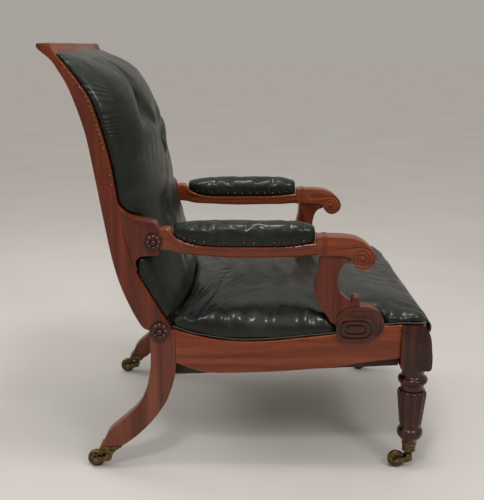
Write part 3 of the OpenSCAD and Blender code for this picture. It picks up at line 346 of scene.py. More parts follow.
@dataclass(frozen=True)
class Mahogany(Finish):
    """French-polished mahogany: red-brown figure, fine dark pores and a clear shellac coat that gives the gloss."""

    deep: str
    main: str
    pale: str
    grain: Axis = Axis.X
    roughness: float = 0.34
    coat: float = 0.3

    def nodes(self, tree: bpy.types.NodeTree, place: bpy.types.NodeSocket) -> tuple[Values, Links]:
        """Adds the figure, the pores and the patches of dull polish.

        Args:
            tree: the material's node tree.
            place: the piece's own coordinates.

        Returns:
            The shader's constants and its incoming sockets.
        """
        # Figure is 30 mm across the grain and about 0.6 m along it
        broad = add(tree, "ShaderNodeMapping", {"Scale": self.grain.value}, {"Vector": place})
        figure = add(tree, "ShaderNodeTexNoise", {"Scale": 1.0, "Detail": 4.0, "Roughness": 0.5, "Distortion": 0.7},
                     {"Vector": broad.outputs[0]})
        # Pores are 0.3 mm wide, drawn 2 mm wide so that they show
        fine = add(tree, "ShaderNodeMapping", {"Scale": tuple(17.0 * v for v in self.grain.value)}, {"Vector": place})
        pores = add(tree, "ShaderNodeTexNoise", {"Scale": 1.0, "Detail": 3.0, "Roughness": 0.6},
                    {"Vector": fine.outputs[0]})
        colour = add(tree, "ShaderNodeValToRGB", links={"Fac": figure.outputs["Fac"]},
                     stops=((0.34, self.deep), (0.5, self.main), (0.67, self.pale)))
        streak = add(tree, "ShaderNodeValToRGB", links={"Fac": pores.outputs["Fac"]},
                     stops=((0.36, "#8a6a5e"), (0.58, "#ffffff")))
        mixed = add(tree, "ShaderNodeMix", {"Factor": 0.32}, {6: colour.outputs[0], 7: streak.outputs[0]},
                    data_type="RGBA", blend_type="MULTIPLY")
        # Handled polish is duller in patches of about 80 mm
        patches = add(tree, "ShaderNodeTexNoise", {"Scale": 12.0, "Detail": 4.0}, {"Vector": place})
        rough = add(tree, "ShaderNodeMapRange", {"To Min": self.roughness - 0.08, "To Max": self.roughness + 0.14},
                    {"Value": patches.outputs["Fac"]})
        bump = add(tree, "ShaderNodeBump", {"Strength": 0.12, "Distance": 0.6 * MM}, {"Height": pores.outputs["Fac"]})
        return (
            {"Specular IOR Level": 0.2, "Coat Weight": self.coat, "Coat Roughness": 0.1},
            {"Base Color": mixed.outputs[2], "Roughness": rough.outputs[0], "Normal": bump.outputs[0]},
        )


@dataclass(frozen=True)
class Hide(Finish):
    """Aniline-dyed upholstery hide: fine pebbled grain, stretch creases, and a wax gloss that is worn in patches.

    A cushion's pleat_phase and pleat_depth attributes draw its fine pleats.
    """

    name: str = "green_hide"
    deep: str = "#0b0e0a"
    main: str = "#131811"
    worn: str = "#282b22"
    roughness: float = 0.36

    def nodes(self, tree: bpy.types.NodeTree, place: bpy.types.NodeSocket) -> tuple[Values, Links]:
        """Adds the pebbles, the creases, the wear and the pleats.

        Args:
            tree: the material's node tree.
            place: the piece's own coordinates.

        Returns:
            The shader's constants and its incoming sockets.
        """
        # Pebbles are 1 mm across, drawn 2.5 mm across so that they show
        pebbles = add(tree, "ShaderNodeTexVoronoi", {"Scale": 400.0, "Randomness": 1.0}, {"Vector": place})
        # Stretch creases lie 10 to 30 mm apart
        creases = add(tree, "ShaderNodeTexNoise", {"Scale": 34.0, "Detail": 6.0, "Roughness": 0.6, "Distortion": 1.2},
                      {"Vector": place})
        # Wear comes in patches of about 120 mm
        patches = add(tree, "ShaderNodeTexNoise", {"Scale": 8.0, "Detail": 5.0, "Roughness": 0.6}, {"Vector": place})
        colour = add(tree, "ShaderNodeValToRGB", links={"Fac": patches.outputs["Fac"]},
                     stops=((0.3, self.deep), (0.52, self.main), (0.75, self.worn)))
        rough = add(tree, "ShaderNodeMapRange", {"From Min": 0.3, "From Max": 0.7, "To Min": self.roughness - 0.1,
                    "To Max": self.roughness + 0.12}, {"Value": creases.outputs["Fac"]})
        # One pleat for each whole step of the phase, 1.2 mm deep where the depth is 1
        phase = add(tree, "ShaderNodeAttribute", attribute_name="pleat_phase")
        depth = add(tree, "ShaderNodeAttribute", attribute_name="pleat_depth")
        turn = add(tree, "ShaderNodeMath", {1: 2 * math.pi}, {0: phase.outputs["Fac"]}, operation="MULTIPLY")
        wave = add(tree, "ShaderNodeMath", links={0: turn.outputs[0]}, operation="SINE")
        pleat = add(tree, "ShaderNodeMath", links={0: wave.outputs[0], 1: depth.outputs["Fac"]}, operation="MULTIPLY")
        grain = add(tree, "ShaderNodeBump", {"Strength": 0.22, "Distance": 0.4 * MM},
                    {"Height": pebbles.outputs["Distance"]})
        fold = add(tree, "ShaderNodeBump", {"Strength": 0.4, "Distance": 2 * MM},
                   {"Height": creases.outputs["Fac"], "Normal": grain.outputs[0]})
        gather = add(tree, "ShaderNodeBump", {"Strength": 0.8, "Distance": 1.2 * MM},
                     {"Height": pleat.outputs[0], "Normal": fold.outputs[0]})
        return (
            {"Specular IOR Level": 0.2, "Coat Weight": 0.22, "Coat Roughness": 0.14},
            {"Base Color": colour.outputs[0], "Roughness": rough.outputs[0], "Normal": gather.outputs[0]},
        )


@dataclass(frozen=True)
class ThreadBraid(Hide):
    """Braided linen gimp, paler and duller than the hide, whose fine pebbles stand for its weave."""

    name: str = "gimp_braid"
    deep: str = "#33342c"
    main: str = "#4a4b41"
    worn: str = "#5d5d51"
    roughness: float = 0.55


@dataclass(frozen=True)
class CastBrass(Finish):
    """Cast brass, tarnished brown in some spots and rubbed brighter in others."""

    name: str = "tarnished_brass"
    dark: str = "#2a2116"
    bright: str = "#7d6a45"
    roughness: float = 0.34

    def nodes(self, tree: bpy.types.NodeTree, place: bpy.types.NodeSocket) -> tuple[Values, Links]:
        """Adds the tarnish, in spots of 3 to 10 mm.

        Args:
            tree: the material's node tree.
            place: the piece's own coordinates.

        Returns:
            The shader's constants and its incoming sockets.
        """
        spots = add(tree, "ShaderNodeTexNoise", {"Scale": 160.0, "Detail": 6.0, "Roughness": 0.65}, {"Vector": place})
        colour = add(tree, "ShaderNodeValToRGB", links={"Fac": spots.outputs["Fac"]},
                     stops=((0.32, self.dark), (0.66, self.bright)))
        rough = add(tree, "ShaderNodeMapRange", {"To Min": self.roughness + 0.2, "To Max": self.roughness - 0.1},
                    {"Value": spots.outputs["Fac"]})
        bump = add(tree, "ShaderNodeBump", {"Strength": 0.3, "Distance": 0.3 * MM}, {"Height": spots.outputs["Fac"]})
        return (
            {"Metallic": 1.0},
            {"Base Color": colour.outputs[0], "Roughness": rough.outputs[0], "Normal": bump.outputs[0]},
        )


@dataclass(frozen=True)
class DrawnSteel(Finish):
    """Drawn mild steel wire and pin stock, grey with brown bloom."""

    name: str = "drawn_steel"
    dark: str = "#3a332d"
    bright: str = "#8d8780"

    def nodes(self, tree: bpy.types.NodeTree, place: bpy.types.NodeSocket) -> tuple[Values, Links]:
        """Adds the bloom, in spots of about 5 mm.

        Args:
            tree: the material's node tree.
            place: the piece's own coordinates.

        Returns:
            The shader's constants and its incoming sockets.
        """
        bloom = add(tree, "ShaderNodeTexNoise", {"Scale": 200.0, "Detail": 4.0}, {"Vector": place})
        colour = add(tree, "ShaderNodeValToRGB", links={"Fac": bloom.outputs["Fac"]},
                     stops=((0.35, self.dark), (0.62, self.bright)))
        return {"Metallic": 1.0, "Roughness": 0.42}, {"Base Color": colour.outputs[0]}


@dataclass(frozen=True)
class StainedBeech(Finish):
    """Sawn beech carcase timber with a dark stain: dull, with short flecks."""

    name: str = "stained_beech"
    grain: Axis = Axis.X

    def nodes(self, tree: bpy.types.NodeTree, place: bpy.types.NodeSocket) -> tuple[Values, Links]:
        """Adds the flecks, 2 mm wide and 40 mm long.

        Args:
            tree: the material's node tree.
            place: the piece's own coordinates.

        Returns:
            The shader's constants and its incoming sockets.
        """
        stretched = add(tree, "ShaderNodeMapping", {"Scale": tuple(16.0 * v for v in self.grain.value)},
                        {"Vector": place})
        fleck = add(tree, "ShaderNodeTexNoise", {"Scale": 1.0, "Detail": 4.0}, {"Vector": stretched.outputs[0]})
        colour = add(tree, "ShaderNodeValToRGB", links={"Fac": fleck.outputs["Fac"]},
                     stops=((0.3, "#1c110c"), (0.7, "#3a261a")))
        bump = add(tree, "ShaderNodeBump", {"Strength": 0.3, "Distance": 0.5 * MM}, {"Height": fleck.outputs["Fac"]})
        return {"Roughness": 0.7}, {"Base Color": colour.outputs[0], "Normal": bump.outputs[0]}


@dataclass(frozen=True)
class WovenJute(Finish):
    """Woven jute: dry, fuzzy and matt, mottled by the plies of its yarns."""

    pale: str
    dark: str
    ply: float

    def nodes(self, tree: bpy.types.NodeTree, place: bpy.types.NodeSocket) -> tuple[Values, Links]:
        """Adds the two ways of the weave.

        Args:
            tree: the material's node tree.
            place: the piece's own coordinates.

        Returns:
            The shader's constants and its incoming sockets.
        """
        # A wave texture has 20 radians in a unit, and one wave covers two plies of a yarn
        scale = math.pi / (20 * self.ply)
        warp, weft = (add(tree, "ShaderNodeTexWave", {"Scale": scale, "Distortion": 0.6, "Detail": 2.0},
                          {"Vector": place}, bands_direction=way) for way in "XY")
        weave = add(tree, "ShaderNodeMath", links={0: warp.outputs["Fac"], 1: weft.outputs["Fac"]},
                    operation="MULTIPLY")
        colour = add(tree, "ShaderNodeValToRGB", links={"Fac": weave.outputs[0]},
                     stops=((0.1, self.dark), (0.7, self.pale)))
        bump = add(tree, "ShaderNodeBump", {"Strength": 0.6, "Distance": 0.8 * MM}, {"Height": weave.outputs[0]})
        return {"Roughness": 0.9}, {"Base Color": colour.outputs[0], "Normal": bump.outputs[0]}


class Finishes:
    """The chair's finishes, each built once."""

    def __init__(self) -> None:
        """Builds every material."""
        red = ("#5a2310", "#733319", "#8a4422")
        brown = ("#1f0b06", "#3a160c", "#582819")
        self.rail = Mahogany("mahogany_rail", *red, Axis.X).material()
        self.post = Mahogany("mahogany_post", "#4a190b", "#602612", "#723018", Axis.Z).material()
        self.leg = Mahogany("mahogany_leg", "#542618", "#683524", "#7a432e", Axis.Z).material()
        self.cross = Mahogany("mahogany_cross", *red, Axis.Y).material()
        # The edge finishes are paler than their faces: partly real rubbing, partly a painted highlight for the gloss
        # that the arrises catch
        self.worn = Mahogany("mahogany_rubbed_highlit_edge", "#66301a", "#854626", "#9c5c36", Axis.X, 0.26).material()
        self.post_rubbed_highlit = Mahogany("mahogany_post_edge", "#4c1c0d", "#6b2b15", "#85401f", Axis.Z, 0.28).material()
        self.dark = Mahogany("mahogany_dark", *brown, Axis.X, 0.24, 0.4).material()
        self.dark_post = Mahogany("mahogany_dark_post", *brown, Axis.Z, 0.26, 0.35).material()
        # Its edge finish is much paler than its faces: rubbing, and a painted highlight on the carved ridges
        self.dark_rubbed_highlit = Mahogany("mahogany_dark_rubbed_highlit_edge", "#3d1a10", "#5e2e1c", "#774029", Axis.Z, 0.2, 0.5).material()
        self.beech = StainedBeech().material()
        self.hide = Hide().material()
        self.braid = ThreadBraid().material()
        self.brass = CastBrass().material()
        self.bronzed = CastBrass("bronzed_nail_heads", "#16130f", "#5a5142", 0.26).material()
        self.steel = DrawnSteel().material()
        self.webbing = WovenJute("jute_webbing", "#9a7d52", "#4d3a22", 0.237 * MM).material()
        self.canvas = WovenJute("jute_canvas", "#a58c62", "#5d4a2e", 0.197 * MM).material()


# ---- timber ----


@dataclass
class Timber:
    """The show timber and the hidden carcase, with their sharp edges eased."""

    finishes: Finishes
    segments: int = 2
    sharp: float = 32.0

    def eased(self, node: str, main: bpy.types.Material, edge: bpy.types.Material, slot: Slot, width: float) -> None:
        """Replaces a node by a copy whose edges are rounded and get a paler finish, for rubbing and as a painted
        highlight.

        Args:
            node: the frame node.
            main: finish of its faces.
            edge: finish of its rounded edges, paler for rubbing and as a painted highlight.
            slot: material slot of the record.
            width: how far an edge is rounded, in millimetres.
        """
        piece = cad_copy(f"{node}_polished", node)
        piece.data.materials.append(main)
        piece.data.materials.append(edge)
        bevel = piece.modifiers.new("ease", "BEVEL")
        bevel.width = width * MM
        bevel.segments = self.segments
        bevel.limit_method = "ANGLE"
        bevel.angle_limit = math.radians(self.sharp)
        # The bevel faces take the paler edge finish: rubbing, and a painted highlight along the arrises
        bevel.material = 1
        bevel.use_clamp_overlap = True
        bake_modifiers(piece)
        shade(piece.data, 38)
        hand_over(piece, slot, node)

    def build(self) -> None:
        """Dresses every timber that keeps the frame's own form."""
        f = self.finishes
        # On the mahogany the second finish is the paler edge, for rubbing and as a painted highlight
        for side in SIDES:
            self.eased(f"stile_{side}", f.post, f.post_rubbed_highlit, Slot.MAHOGANY, 1.6)
            self.eased(f"rear_leg_{side}", f.leg, f.post_rubbed_highlit, Slot.MAHOGANY, 2.2)
            self.eased(f"side_rail_{side}", f.rail, f.worn, Slot.MAHOGANY, 1.6)
            self.eased(f"bracket_{side}", f.post, f.post_rubbed_highlit, Slot.MAHOGANY, 0.5)
            self.eased(f"arm_{side}", f.rail, f.worn, Slot.MAHOGANY, 1.2)
            self.eased(f"arm_support_{side}", f.post, f.worn, Slot.MAHOGANY, 2.4)
            self.eased(f"front_leg_{side}", f.dark_post, f.dark_rubbed_highlit, Slot.DARK_MAHOGANY, 1.6)
            self.eased(f"inner_rail_{side}", f.beech, f.beech, Slot.BEECH, 1.3)
        for node in ("support_pateras", "arm_rosettes", "seat_rosettes"):
            self.eased(node, f.dark, f.dark_rubbed_highlit, Slot.DARK_MAHOGANY, 0.7)
        self.eased("crest_rail", f.cross, f.worn, Slot.MAHOGANY, 2.4)
        self.eased("front_rail", f.cross, f.worn, Slot.MAHOGANY, 1.6)
        for node in ("rear_rail", "back_bottom_rail", "corner_blocks"):
            self.eased(node, f.beech, f.beech, Slot.BEECH, 1.3)


# ---- upholstery ----


def rise(values: np.ndarray, low: float, high: float) -> np.ndarray:
    """Smooth step of values from 0 at low to 1 at high."""
    share = np.clip((values - low) / (high - low), 0, 1)
    return share * share * (3 - 2 * share)


def fall(values: np.ndarray, low: float, high: float) -> np.ndarray:
    """Smooth step of values from 1 at low to 0 at high."""
    return 1 - rise(values, low, high)


def hump(values: np.ndarray, middle: float, width: float | np.ndarray) -> np.ndarray:
    """Bell of values, 1 at the middle and near 0 two widths away."""
    return np.exp(-(((values - middle) / width) ** 2))


@dataclass(frozen=True)
class Crease:
    """A fold in the hide along a broken line: a valley with a low roll on each side."""

    line: tuple[tuple[float, float], ...]
    depth: float
    width: float
    fade_start: bool = False
    fade_end: bool = True

    def nearest(self, places: np.ndarray) -> tuple[np.ndarray, np.ndarray]:
        """Measures how far places lie from the line.

        Args:
            places: n by 2 places on the cushion.

        Returns:
            The distance, and the share of the line's length at the nearest place on it.
        """
        corners = np.array(self.line, float)
        lengths = np.linalg.norm(np.diff(corners, axis=0), axis=1)
        best = np.full(len(places), np.inf)
        share = np.zeros(len(places))
        done = 0.0
        for start, end, length in zip(corners[:-1], corners[1:], lengths):
            along = np.clip(((places - start) @ (end - start)) / length**2, 0, 1)
            away = np.linalg.norm(places - (start + along[:, None] * (end - start)), axis=1)
            nearer = away < best
            best[nearer] = away[nearer]
            share[nearer] = ((done + along * length) / lengths.sum())[nearer]
            done += length
        return best, share

    def push(self, places: np.ndarray) -> np.ndarray:
        """Works out how far the fold pushes each place along its normal.

        Args:
            places: n by 2 places on the cushion.

        Returns:
            The push, negative inward.
        """
        away, share = self.nearest(places)
        fade = np.ones(len(places))
        if self.fade_start:
            fade *= np.clip(share * 4, 0, 1)
        if self.fade_end:
            fade *= np.clip((1 - share) * 2.2, 0, 1)
        return self.depth * fade * (0.38 * hump(away, 2.1 * self.width, self.width) - hump(away, 0, self.width))


@dataclass(kw_only=True)
class Cushion:
    """One stuffed piece: a voxel shell that is rounded, blown up as cloth, smoothed, and then creased."""

    node: str
    hide: bpy.types.Material
    fill: float
    voxel: float = 6 * MM
    cap: float = 9 * MM
    pressure: float = 4.0
    frames: int = 20
    slack: float = 0.015
    stiffness: float = 20.0
    bending: float = 0.6

    def shell(self) -> bpy.types.Object:
        """Copies the frame node as an even closed shell.

        Returns:
            The shell.
        """
        piece = cad_copy(f"{self.node}_hide", self.node, 0)
        remesh = piece.modifiers.new("even", "REMESH")
        remesh.mode = "VOXEL"
        remesh.voxel_size = self.voxel
        bake_modifiers(piece)
        return piece

    def soften(self, piece: bpy.types.Object, share: np.ndarray, rounds: int) -> None:
        """Rounds the shell where a share says so.

        Args:
            piece: the shell.
            share: how much of the rounding each point takes, from 0 to 1.
            rounds: how often the points are averaged with their neighbours.
        """
        rest = coordinates(piece.data)
        ease = piece.modifiers.new("round", "SMOOTH")
        ease.factor = 0.5
        ease.iterations = rounds
        bake_modifiers(piece)
        moved = coordinates(piece.data)
        set_coordinates(piece.data, rest + (moved - rest) * share[:, None])

    def swell(self, piece: bpy.types.Object, held: np.ndarray) -> None:
        """Blows the shell up as cloth, up to the cap, and keeps the result.

        Args:
            piece: the shell.
            held: how firmly each point is held, from 0 to 1.
        """
        rest = coordinates(piece.data)
        group = piece.vertex_groups.new(name="held")
        tenths = np.round(held * 10).astype(int)
        for tenth in range(1, 11):
            chosen = np.flatnonzero(tenths == tenth).tolist()
            if chosen:
                group.add(chosen, tenth / 10, "REPLACE")
        settings = piece.modifiers.new("swell", "CLOTH").settings
        settings.quality = 5
        settings.use_pressure = True
        settings.uniform_pressure_force = self.pressure
        settings.effector_weights.gravity = 0
        settings.vertex_group_mass = "held"
        settings.shrink_min = -self.slack
        settings.tension_stiffness = self.stiffness
        settings.compression_stiffness = self.stiffness
        settings.bending_stiffness = self.bending
        scene = bpy.context.scene
        for number in range(1, self.frames + 1):
            scene.frame_set(number)
        shift = coordinates(piece.evaluated_get(bpy.context.evaluated_depsgraph_get()).data) - rest
        piece.modifiers.clear()
        piece.vertex_groups.clear()
        scene.frame_set(1)
        shift[~np.isfinite(shift).all(axis=1)] = 0
        far = np.linalg.norm(shift, axis=1)
        shift *= np.minimum(1, self.cap / np.maximum(far, 1e-9))[:, None]
        set_coordinates(piece.data, rest + shift * (1 - np.clip(held, 0, 1))[:, None])

    def refine(self, piece: bpy.types.Object, rounds: int) -> None:
        """Smooths the shell and divides it once.

        Args:
            piece: the shell.
            rounds: how often the points are averaged with their neighbours.
        """
        ease = piece.modifiers.new("ease", "SMOOTH")
        ease.factor = 0.5
        ease.iterations = rounds
        divide = piece.modifiers.new("divide", "SUBSURF")
        divide.levels = divide.render_levels = 1
        bake_modifiers(piece)

    def pleat(self, piece: bpy.types.Object, phase: np.ndarray, depth: np.ndarray) -> None:
        """Stores the fine pleats that the hide's material draws.

        Args:
            piece: the cushion.
            phase: which pleat a point lies on, one for each whole step.
            depth: how deep the pleats are, from 0 to 1.
        """
        for name, values in (("pleat_phase", phase), ("pleat_depth", depth)):
            store = piece.data.attributes.new(name, "FLOAT", "POINT")
            store.data.foreach_set("value", values.astype(np.float32))

    def dress(self, piece: bpy.types.Object) -> None:
        """Gives the shell its hide and hands it to the frame.

        Args:
            piece: the finished shell.
        """
        piece.data.materials.clear()
        piece.data.materials.append(self.hide)
        shade(piece.data, 60)
        hand_over(piece, Slot.LEATHER, self.node)


@dataclass(kw_only=True)
class BackCushion(Cushion):
    """The tufted back, held at its frame, its nailed edges and its five buttons."""

    node: str = "back_cushion"
    fill: float = 0.75
    button_hold: float = 16 * MM
    dimple: float = 30 * MM
    valley: float = 14 * MM
    window: float = 20 * MM
    samples: int = 40

    def buttons(self) -> list[np.ndarray]:
        """Finds the middles of the five buttons, which are taller than their twine."""
        return [points.mean(0) for points in islands("back_buttons") if np.ptp(points[:, 2]) > 10 * MM]

    def sink(self, centre: np.ndarray) -> float:
        """Says how far a button is drawn in past the frame's own, deepest near the crest."""
        return float(np.interp(centre[2], (0.6, 0.745, 0.87), (3.0, 4.5, 7.0))) * MM

    def build(self) -> None:
        """Makes the tufted back."""
        piece = self.shell()
        places = coordinates(piece.data)
        z = places[:, 2]
        low, high = z.min(), z.max()
        solid = coordinates(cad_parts[self.node].data)
        half = float(abs(solid[:, 1]).max())
        heights = np.linspace(solid[:, 2].min() + 2 * MM, solid[:, 2].max() - 2 * MM, self.samples)
        rear = [solid[abs(solid[:, 2] - height) < self.window][:, 0].min() for height in heights]
        # Held at the frame behind it, at its foot, at the stiles, under the crest, and half held below the arms
        holds = [
            fall(places[:, 0] - np.interp(z, heights, rear), 0.012, 0.04),
            fall(z - low, 0.006, 0.03),
            fall(half - abs(places[:, 1]), 0.018, 0.05),
            fall(high - z, 0.004, 0.02),
            0.5 * fall(z, 0.66, 0.8),
        ]
        centres = self.buttons()
        holds += [fall(np.linalg.norm(places - c, axis=1), self.button_hold, 0.05) for c in centres]
        self.swell(piece, np.maximum.reduce(holds))
        self.refine(piece, 9)
        self.crease(piece, centres, low, high)
        self.gather(piece, high, half)
        self.dress(piece)

    def crease(self, piece: bpy.types.Object, centres: Sequence[np.ndarray], low: float, high: float) -> None:
        """Sinks the buttons and draws the soft valleys from each one.

        Args:
            piece: the shell.
            centres: the buttons' middles.
            low: height of the shell's foot.
            high: height of its top.
        """
        places = coordinates(piece.data)
        normals = point_normals(piece.data)
        plane = places[:, 1:3]
        middle = min(centres, key=lambda c: abs(c[1]))
        push = np.zeros(len(places))
        for c in centres:
            push -= self.sink(c) * hump(np.linalg.norm(places - c, axis=1), 0, self.dimple)
            if c is middle:
                continue
            sign = math.copysign(1, c[1])
            upper = c[2] > middle[2]
            bend = ((c[1] + middle[1]) / 2 + 0.02 * sign, (c[2] + middle[2]) / 2)
            push += Crease(((c[1], c[2]), bend, (middle[1], middle[2])), (4.5 if upper else 2.6) * MM, self.valley,
                           fade_end=False).push(plane)
            goal = (c[1] + 0.012 * sign, high - 0.006) if upper else (c[1] + 0.01 * sign, low + 0.02)
            bend = ((c[1] + goal[0]) / 2 - 0.006 * sign, (c[2] + goal[1]) / 2)
            push += Crease(((c[1], c[2]), bend, goal), (4.2 if upper else 2.4) * MM, self.valley - MM).push(plane)
        z, y = places[:, 2], abs(places[:, 1])
        # Slack in waves of 110 to 200 mm where the hide isn't drawn tight
        push += 0.8 * MM * np.sin(z * 57 + 9 * y) * np.sin(y * 31 + 4 * z)
        front = rise(normals[:, 0], -0.1, 0.35)
        set_coordinates(piece.data, places + normals * (push * front)[:, None])

    def gather(self, piece: bpy.types.Object, high: float, half: float) -> None:
        """Stores the pleats of the nailed edges and of the crest.

        Args:
            piece: the shell.
            high: height of the shell's top.
            half: half of its width.
        """
        places = coordinates(piece.data)
        z, y = places[:, 2], abs(places[:, 1])
        # Uneven pleats, 6 mm apart and more, on the turn of the edge; each runs out at its own length
        inward = half - y
        phase = z / 0.0145 + 1.1 * np.sin(z * 31) + 0.6 * np.sin(z * 83 + 1) + inward * (14 + 22 * np.sin(z * 43))
        reach = 0.024 + 0.012 * np.sin(z * 131) * np.sin(z * 57 + 2)
        edge = hump(inward, 0.016, reach)
        depth = edge * (0.12 + 0.88 * rise(z, 0.79, 0.86)) * (0.6 + 0.4 * np.sin(z * 97 + 2) * np.sin(z * 37))
        # Short upright pleats 19 mm apart where the hide goes over the crest
        crest = hump(high - z, 0, 0.03) * (1 - edge)
        phase = np.where(crest > depth, y / 0.019 + 0.5 * np.sin(y * 47), phase)
        self.pleat(piece, phase, np.maximum(depth, 0.5 * crest))

    def sunk_buttons(self) -> None:
        """Copies the buttons and draws each one in with the hide."""
        piece = cad_copy("back_buttons_hide", "back_buttons", 0)
        points = coordinates(piece.data)
        for centre in self.buttons():
            near = np.linalg.norm(points - centre, axis=1) < 0.02
            points[near, 0] -= self.sink(centre)
        set_coordinates(piece.data, points)
        piece.data.materials.append(self.hide)
        shade(piece.data, 50)
        hand_over(piece, Slot.LEATHER, "back_buttons")


@dataclass(kw_only=True)
class SeatCushion(Cushion):
    """The crowned seat, held round its lower edge and where the back meets it."""

    node: str = "seat_cushion"
    fill: float = 0.75
    cap: float = 8 * MM
    edge: float = 30 * MM
    window: float = 15 * MM
    samples: int = 32

    def above_hem(self, places: np.ndarray, half: float) -> np.ndarray:
        """Finds how high each point lies above the nailed hem of the seat's sides.

        Args:
            places: the shell's points.
            half: half of its width.

        Returns:
            The height of each point above the hem beside it.
        """
        outer = places[abs(places[:, 1]) > half - self.edge]
        found = []
        for x in np.linspace(outer[:, 0].min(), outer[:, 0].max(), self.samples):
            heights = outer[abs(outer[:, 0] - x) < self.window][:, 2]
            if len(heights):
                found.append((x, heights.min()))
        steps, lowest = np.array(found).T
        return places[:, 2] - np.interp(places[:, 0], steps, lowest)

    def build(self) -> None:
        """Makes the crowned seat."""
        piece = self.shell()
        places = coordinates(piece.data)
        low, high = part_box(self.node)
        half = float(abs(places[:, 1]).max())
        above = self.above_hem(places, half)
        # The roll along the sides and the front is rounded, its hem isn't
        turn = np.maximum(rise(abs(places[:, 1]), half - 0.11, half - 0.06),
                          rise(places[:, 0], high[0] - 0.13, high[0] - 0.08))
        turn *= rise(above, 0.004, 0.016) * rise(places[:, 0] - low[0], 0.02, 0.06)
        self.soften(piece, turn, 45)
        rearward = coordinates(piece.data)[:, 0] - low[0]
        self.swell(piece, np.maximum(fall(above, 0.006, 0.03), fall(rearward, 0.045, 0.09)))
        self.refine(piece, 12)
        self.crease(piece, float(low[0]), float(high[0]), half)
        self.dress(piece)

    def folds(self, rear: float, front: float, half: float) -> list[Crease]:
        """Lays out the folds at the seat's four corners.

        Args:
            rear: where the seat begins along X.
            front: where it ends.
            half: half of its width.

        Returns:
            The folds.
        """
        folds = []
        for sign in SIDES.values():
            wide = half * sign
            corner = (rear + 0.045, 0.93 * wide)
            folds += [
                Crease((corner, (rear + 0.085, 0.7 * wide), (rear + 0.12, 0.3 * wide)), 3.0 * MM, 7 * MM),
                Crease((corner, (rear + 0.13, 0.72 * wide), (rear + 0.24, 0.5 * wide)), 2.4 * MM, 9 * MM),
                Crease(((front - 0.03, 0.93 * wide), (front - 0.13, 0.8 * wide)), 2.4 * MM, 9 * MM),
                Crease(((front - 0.02, 0.78 * wide), (front - 0.10, 0.7 * wide)), 1.8 * MM, 8 * MM),
            ]
        return folds

    def crease(self, piece: bpy.types.Object, rear: float, front: float, half: float) -> None:
        """Draws the folds, the slack of the top and the roll along the rails, and stores the fine pleats.

        Args:
            piece: the shell.
            rear: where the seat begins along X.
            front: where it ends.
            half: half of its width.
        """
        places = coordinates(piece.data)
        normals = point_normals(piece.data)
        x, y = places[:, 0], places[:, 1]
        above = self.above_hem(places, half)
        top = rise(normals[:, 2], 0.0, 0.5)
        push = sum(fold.push(places[:, :2]) for fold in self.folds(rear, front, half)) * top
        # The stuffed roll stands 4 mm proud, in swells of 40 to 65 mm
        upper = rise(above, 0.004, 0.02)
        roll = hump(half - abs(y), 0.02, 0.035) * rise(x - rear, 0.05, 0.12)
        push += upper * roll * (4.0 + 1.3 * np.sin(x * 97 + 1) + 0.9 * np.sin(x * 161 + 2 * np.sign(y))) * MM
        push += upper * hump(front - x, 0.03, 0.04) * (3.5 + 1.0 * np.sin(y * 60 + 1)) * MM
        # Slack ripples of 60 mm across the seat
        push += 1.1 * MM * top * np.sin(x * 103 + 3 * y) * np.sin(y * 21 + 5 * x)
        moved = places + normals * push[:, None]
        moved[:, 0] = np.minimum(moved[:, 0], front + 6 * MM)
        moved[:, 1] = np.clip(moved[:, 1], -half - 3 * MM, half + 3 * MM)
        set_coordinates(piece.data, moved)
        # Fine pull lines fan out from the back corners, 5.5 degrees apart; short ones stand 15 mm apart along the hem
        from_corner = np.stack([x - rear - 0.03, half * 0.97 - abs(y)], axis=1)
        fan = np.degrees(np.arctan2(from_corner[:, 0], from_corner[:, 1].clip(1e-4)))
        reach = np.linalg.norm(from_corner, axis=1)
        depth = hump(fan, 24, 16) * rise(reach, 0.01, 0.05) * fall(reach, 0.2, 0.34)
        hem = hump(above, 0.012, 0.01) * 0.4
        phase = np.where(hem > depth, x / 0.015 + 0.5 * np.sin(x * 71), fan / 5.5)
        self.pleat(piece, phase, np.maximum(depth, hem))


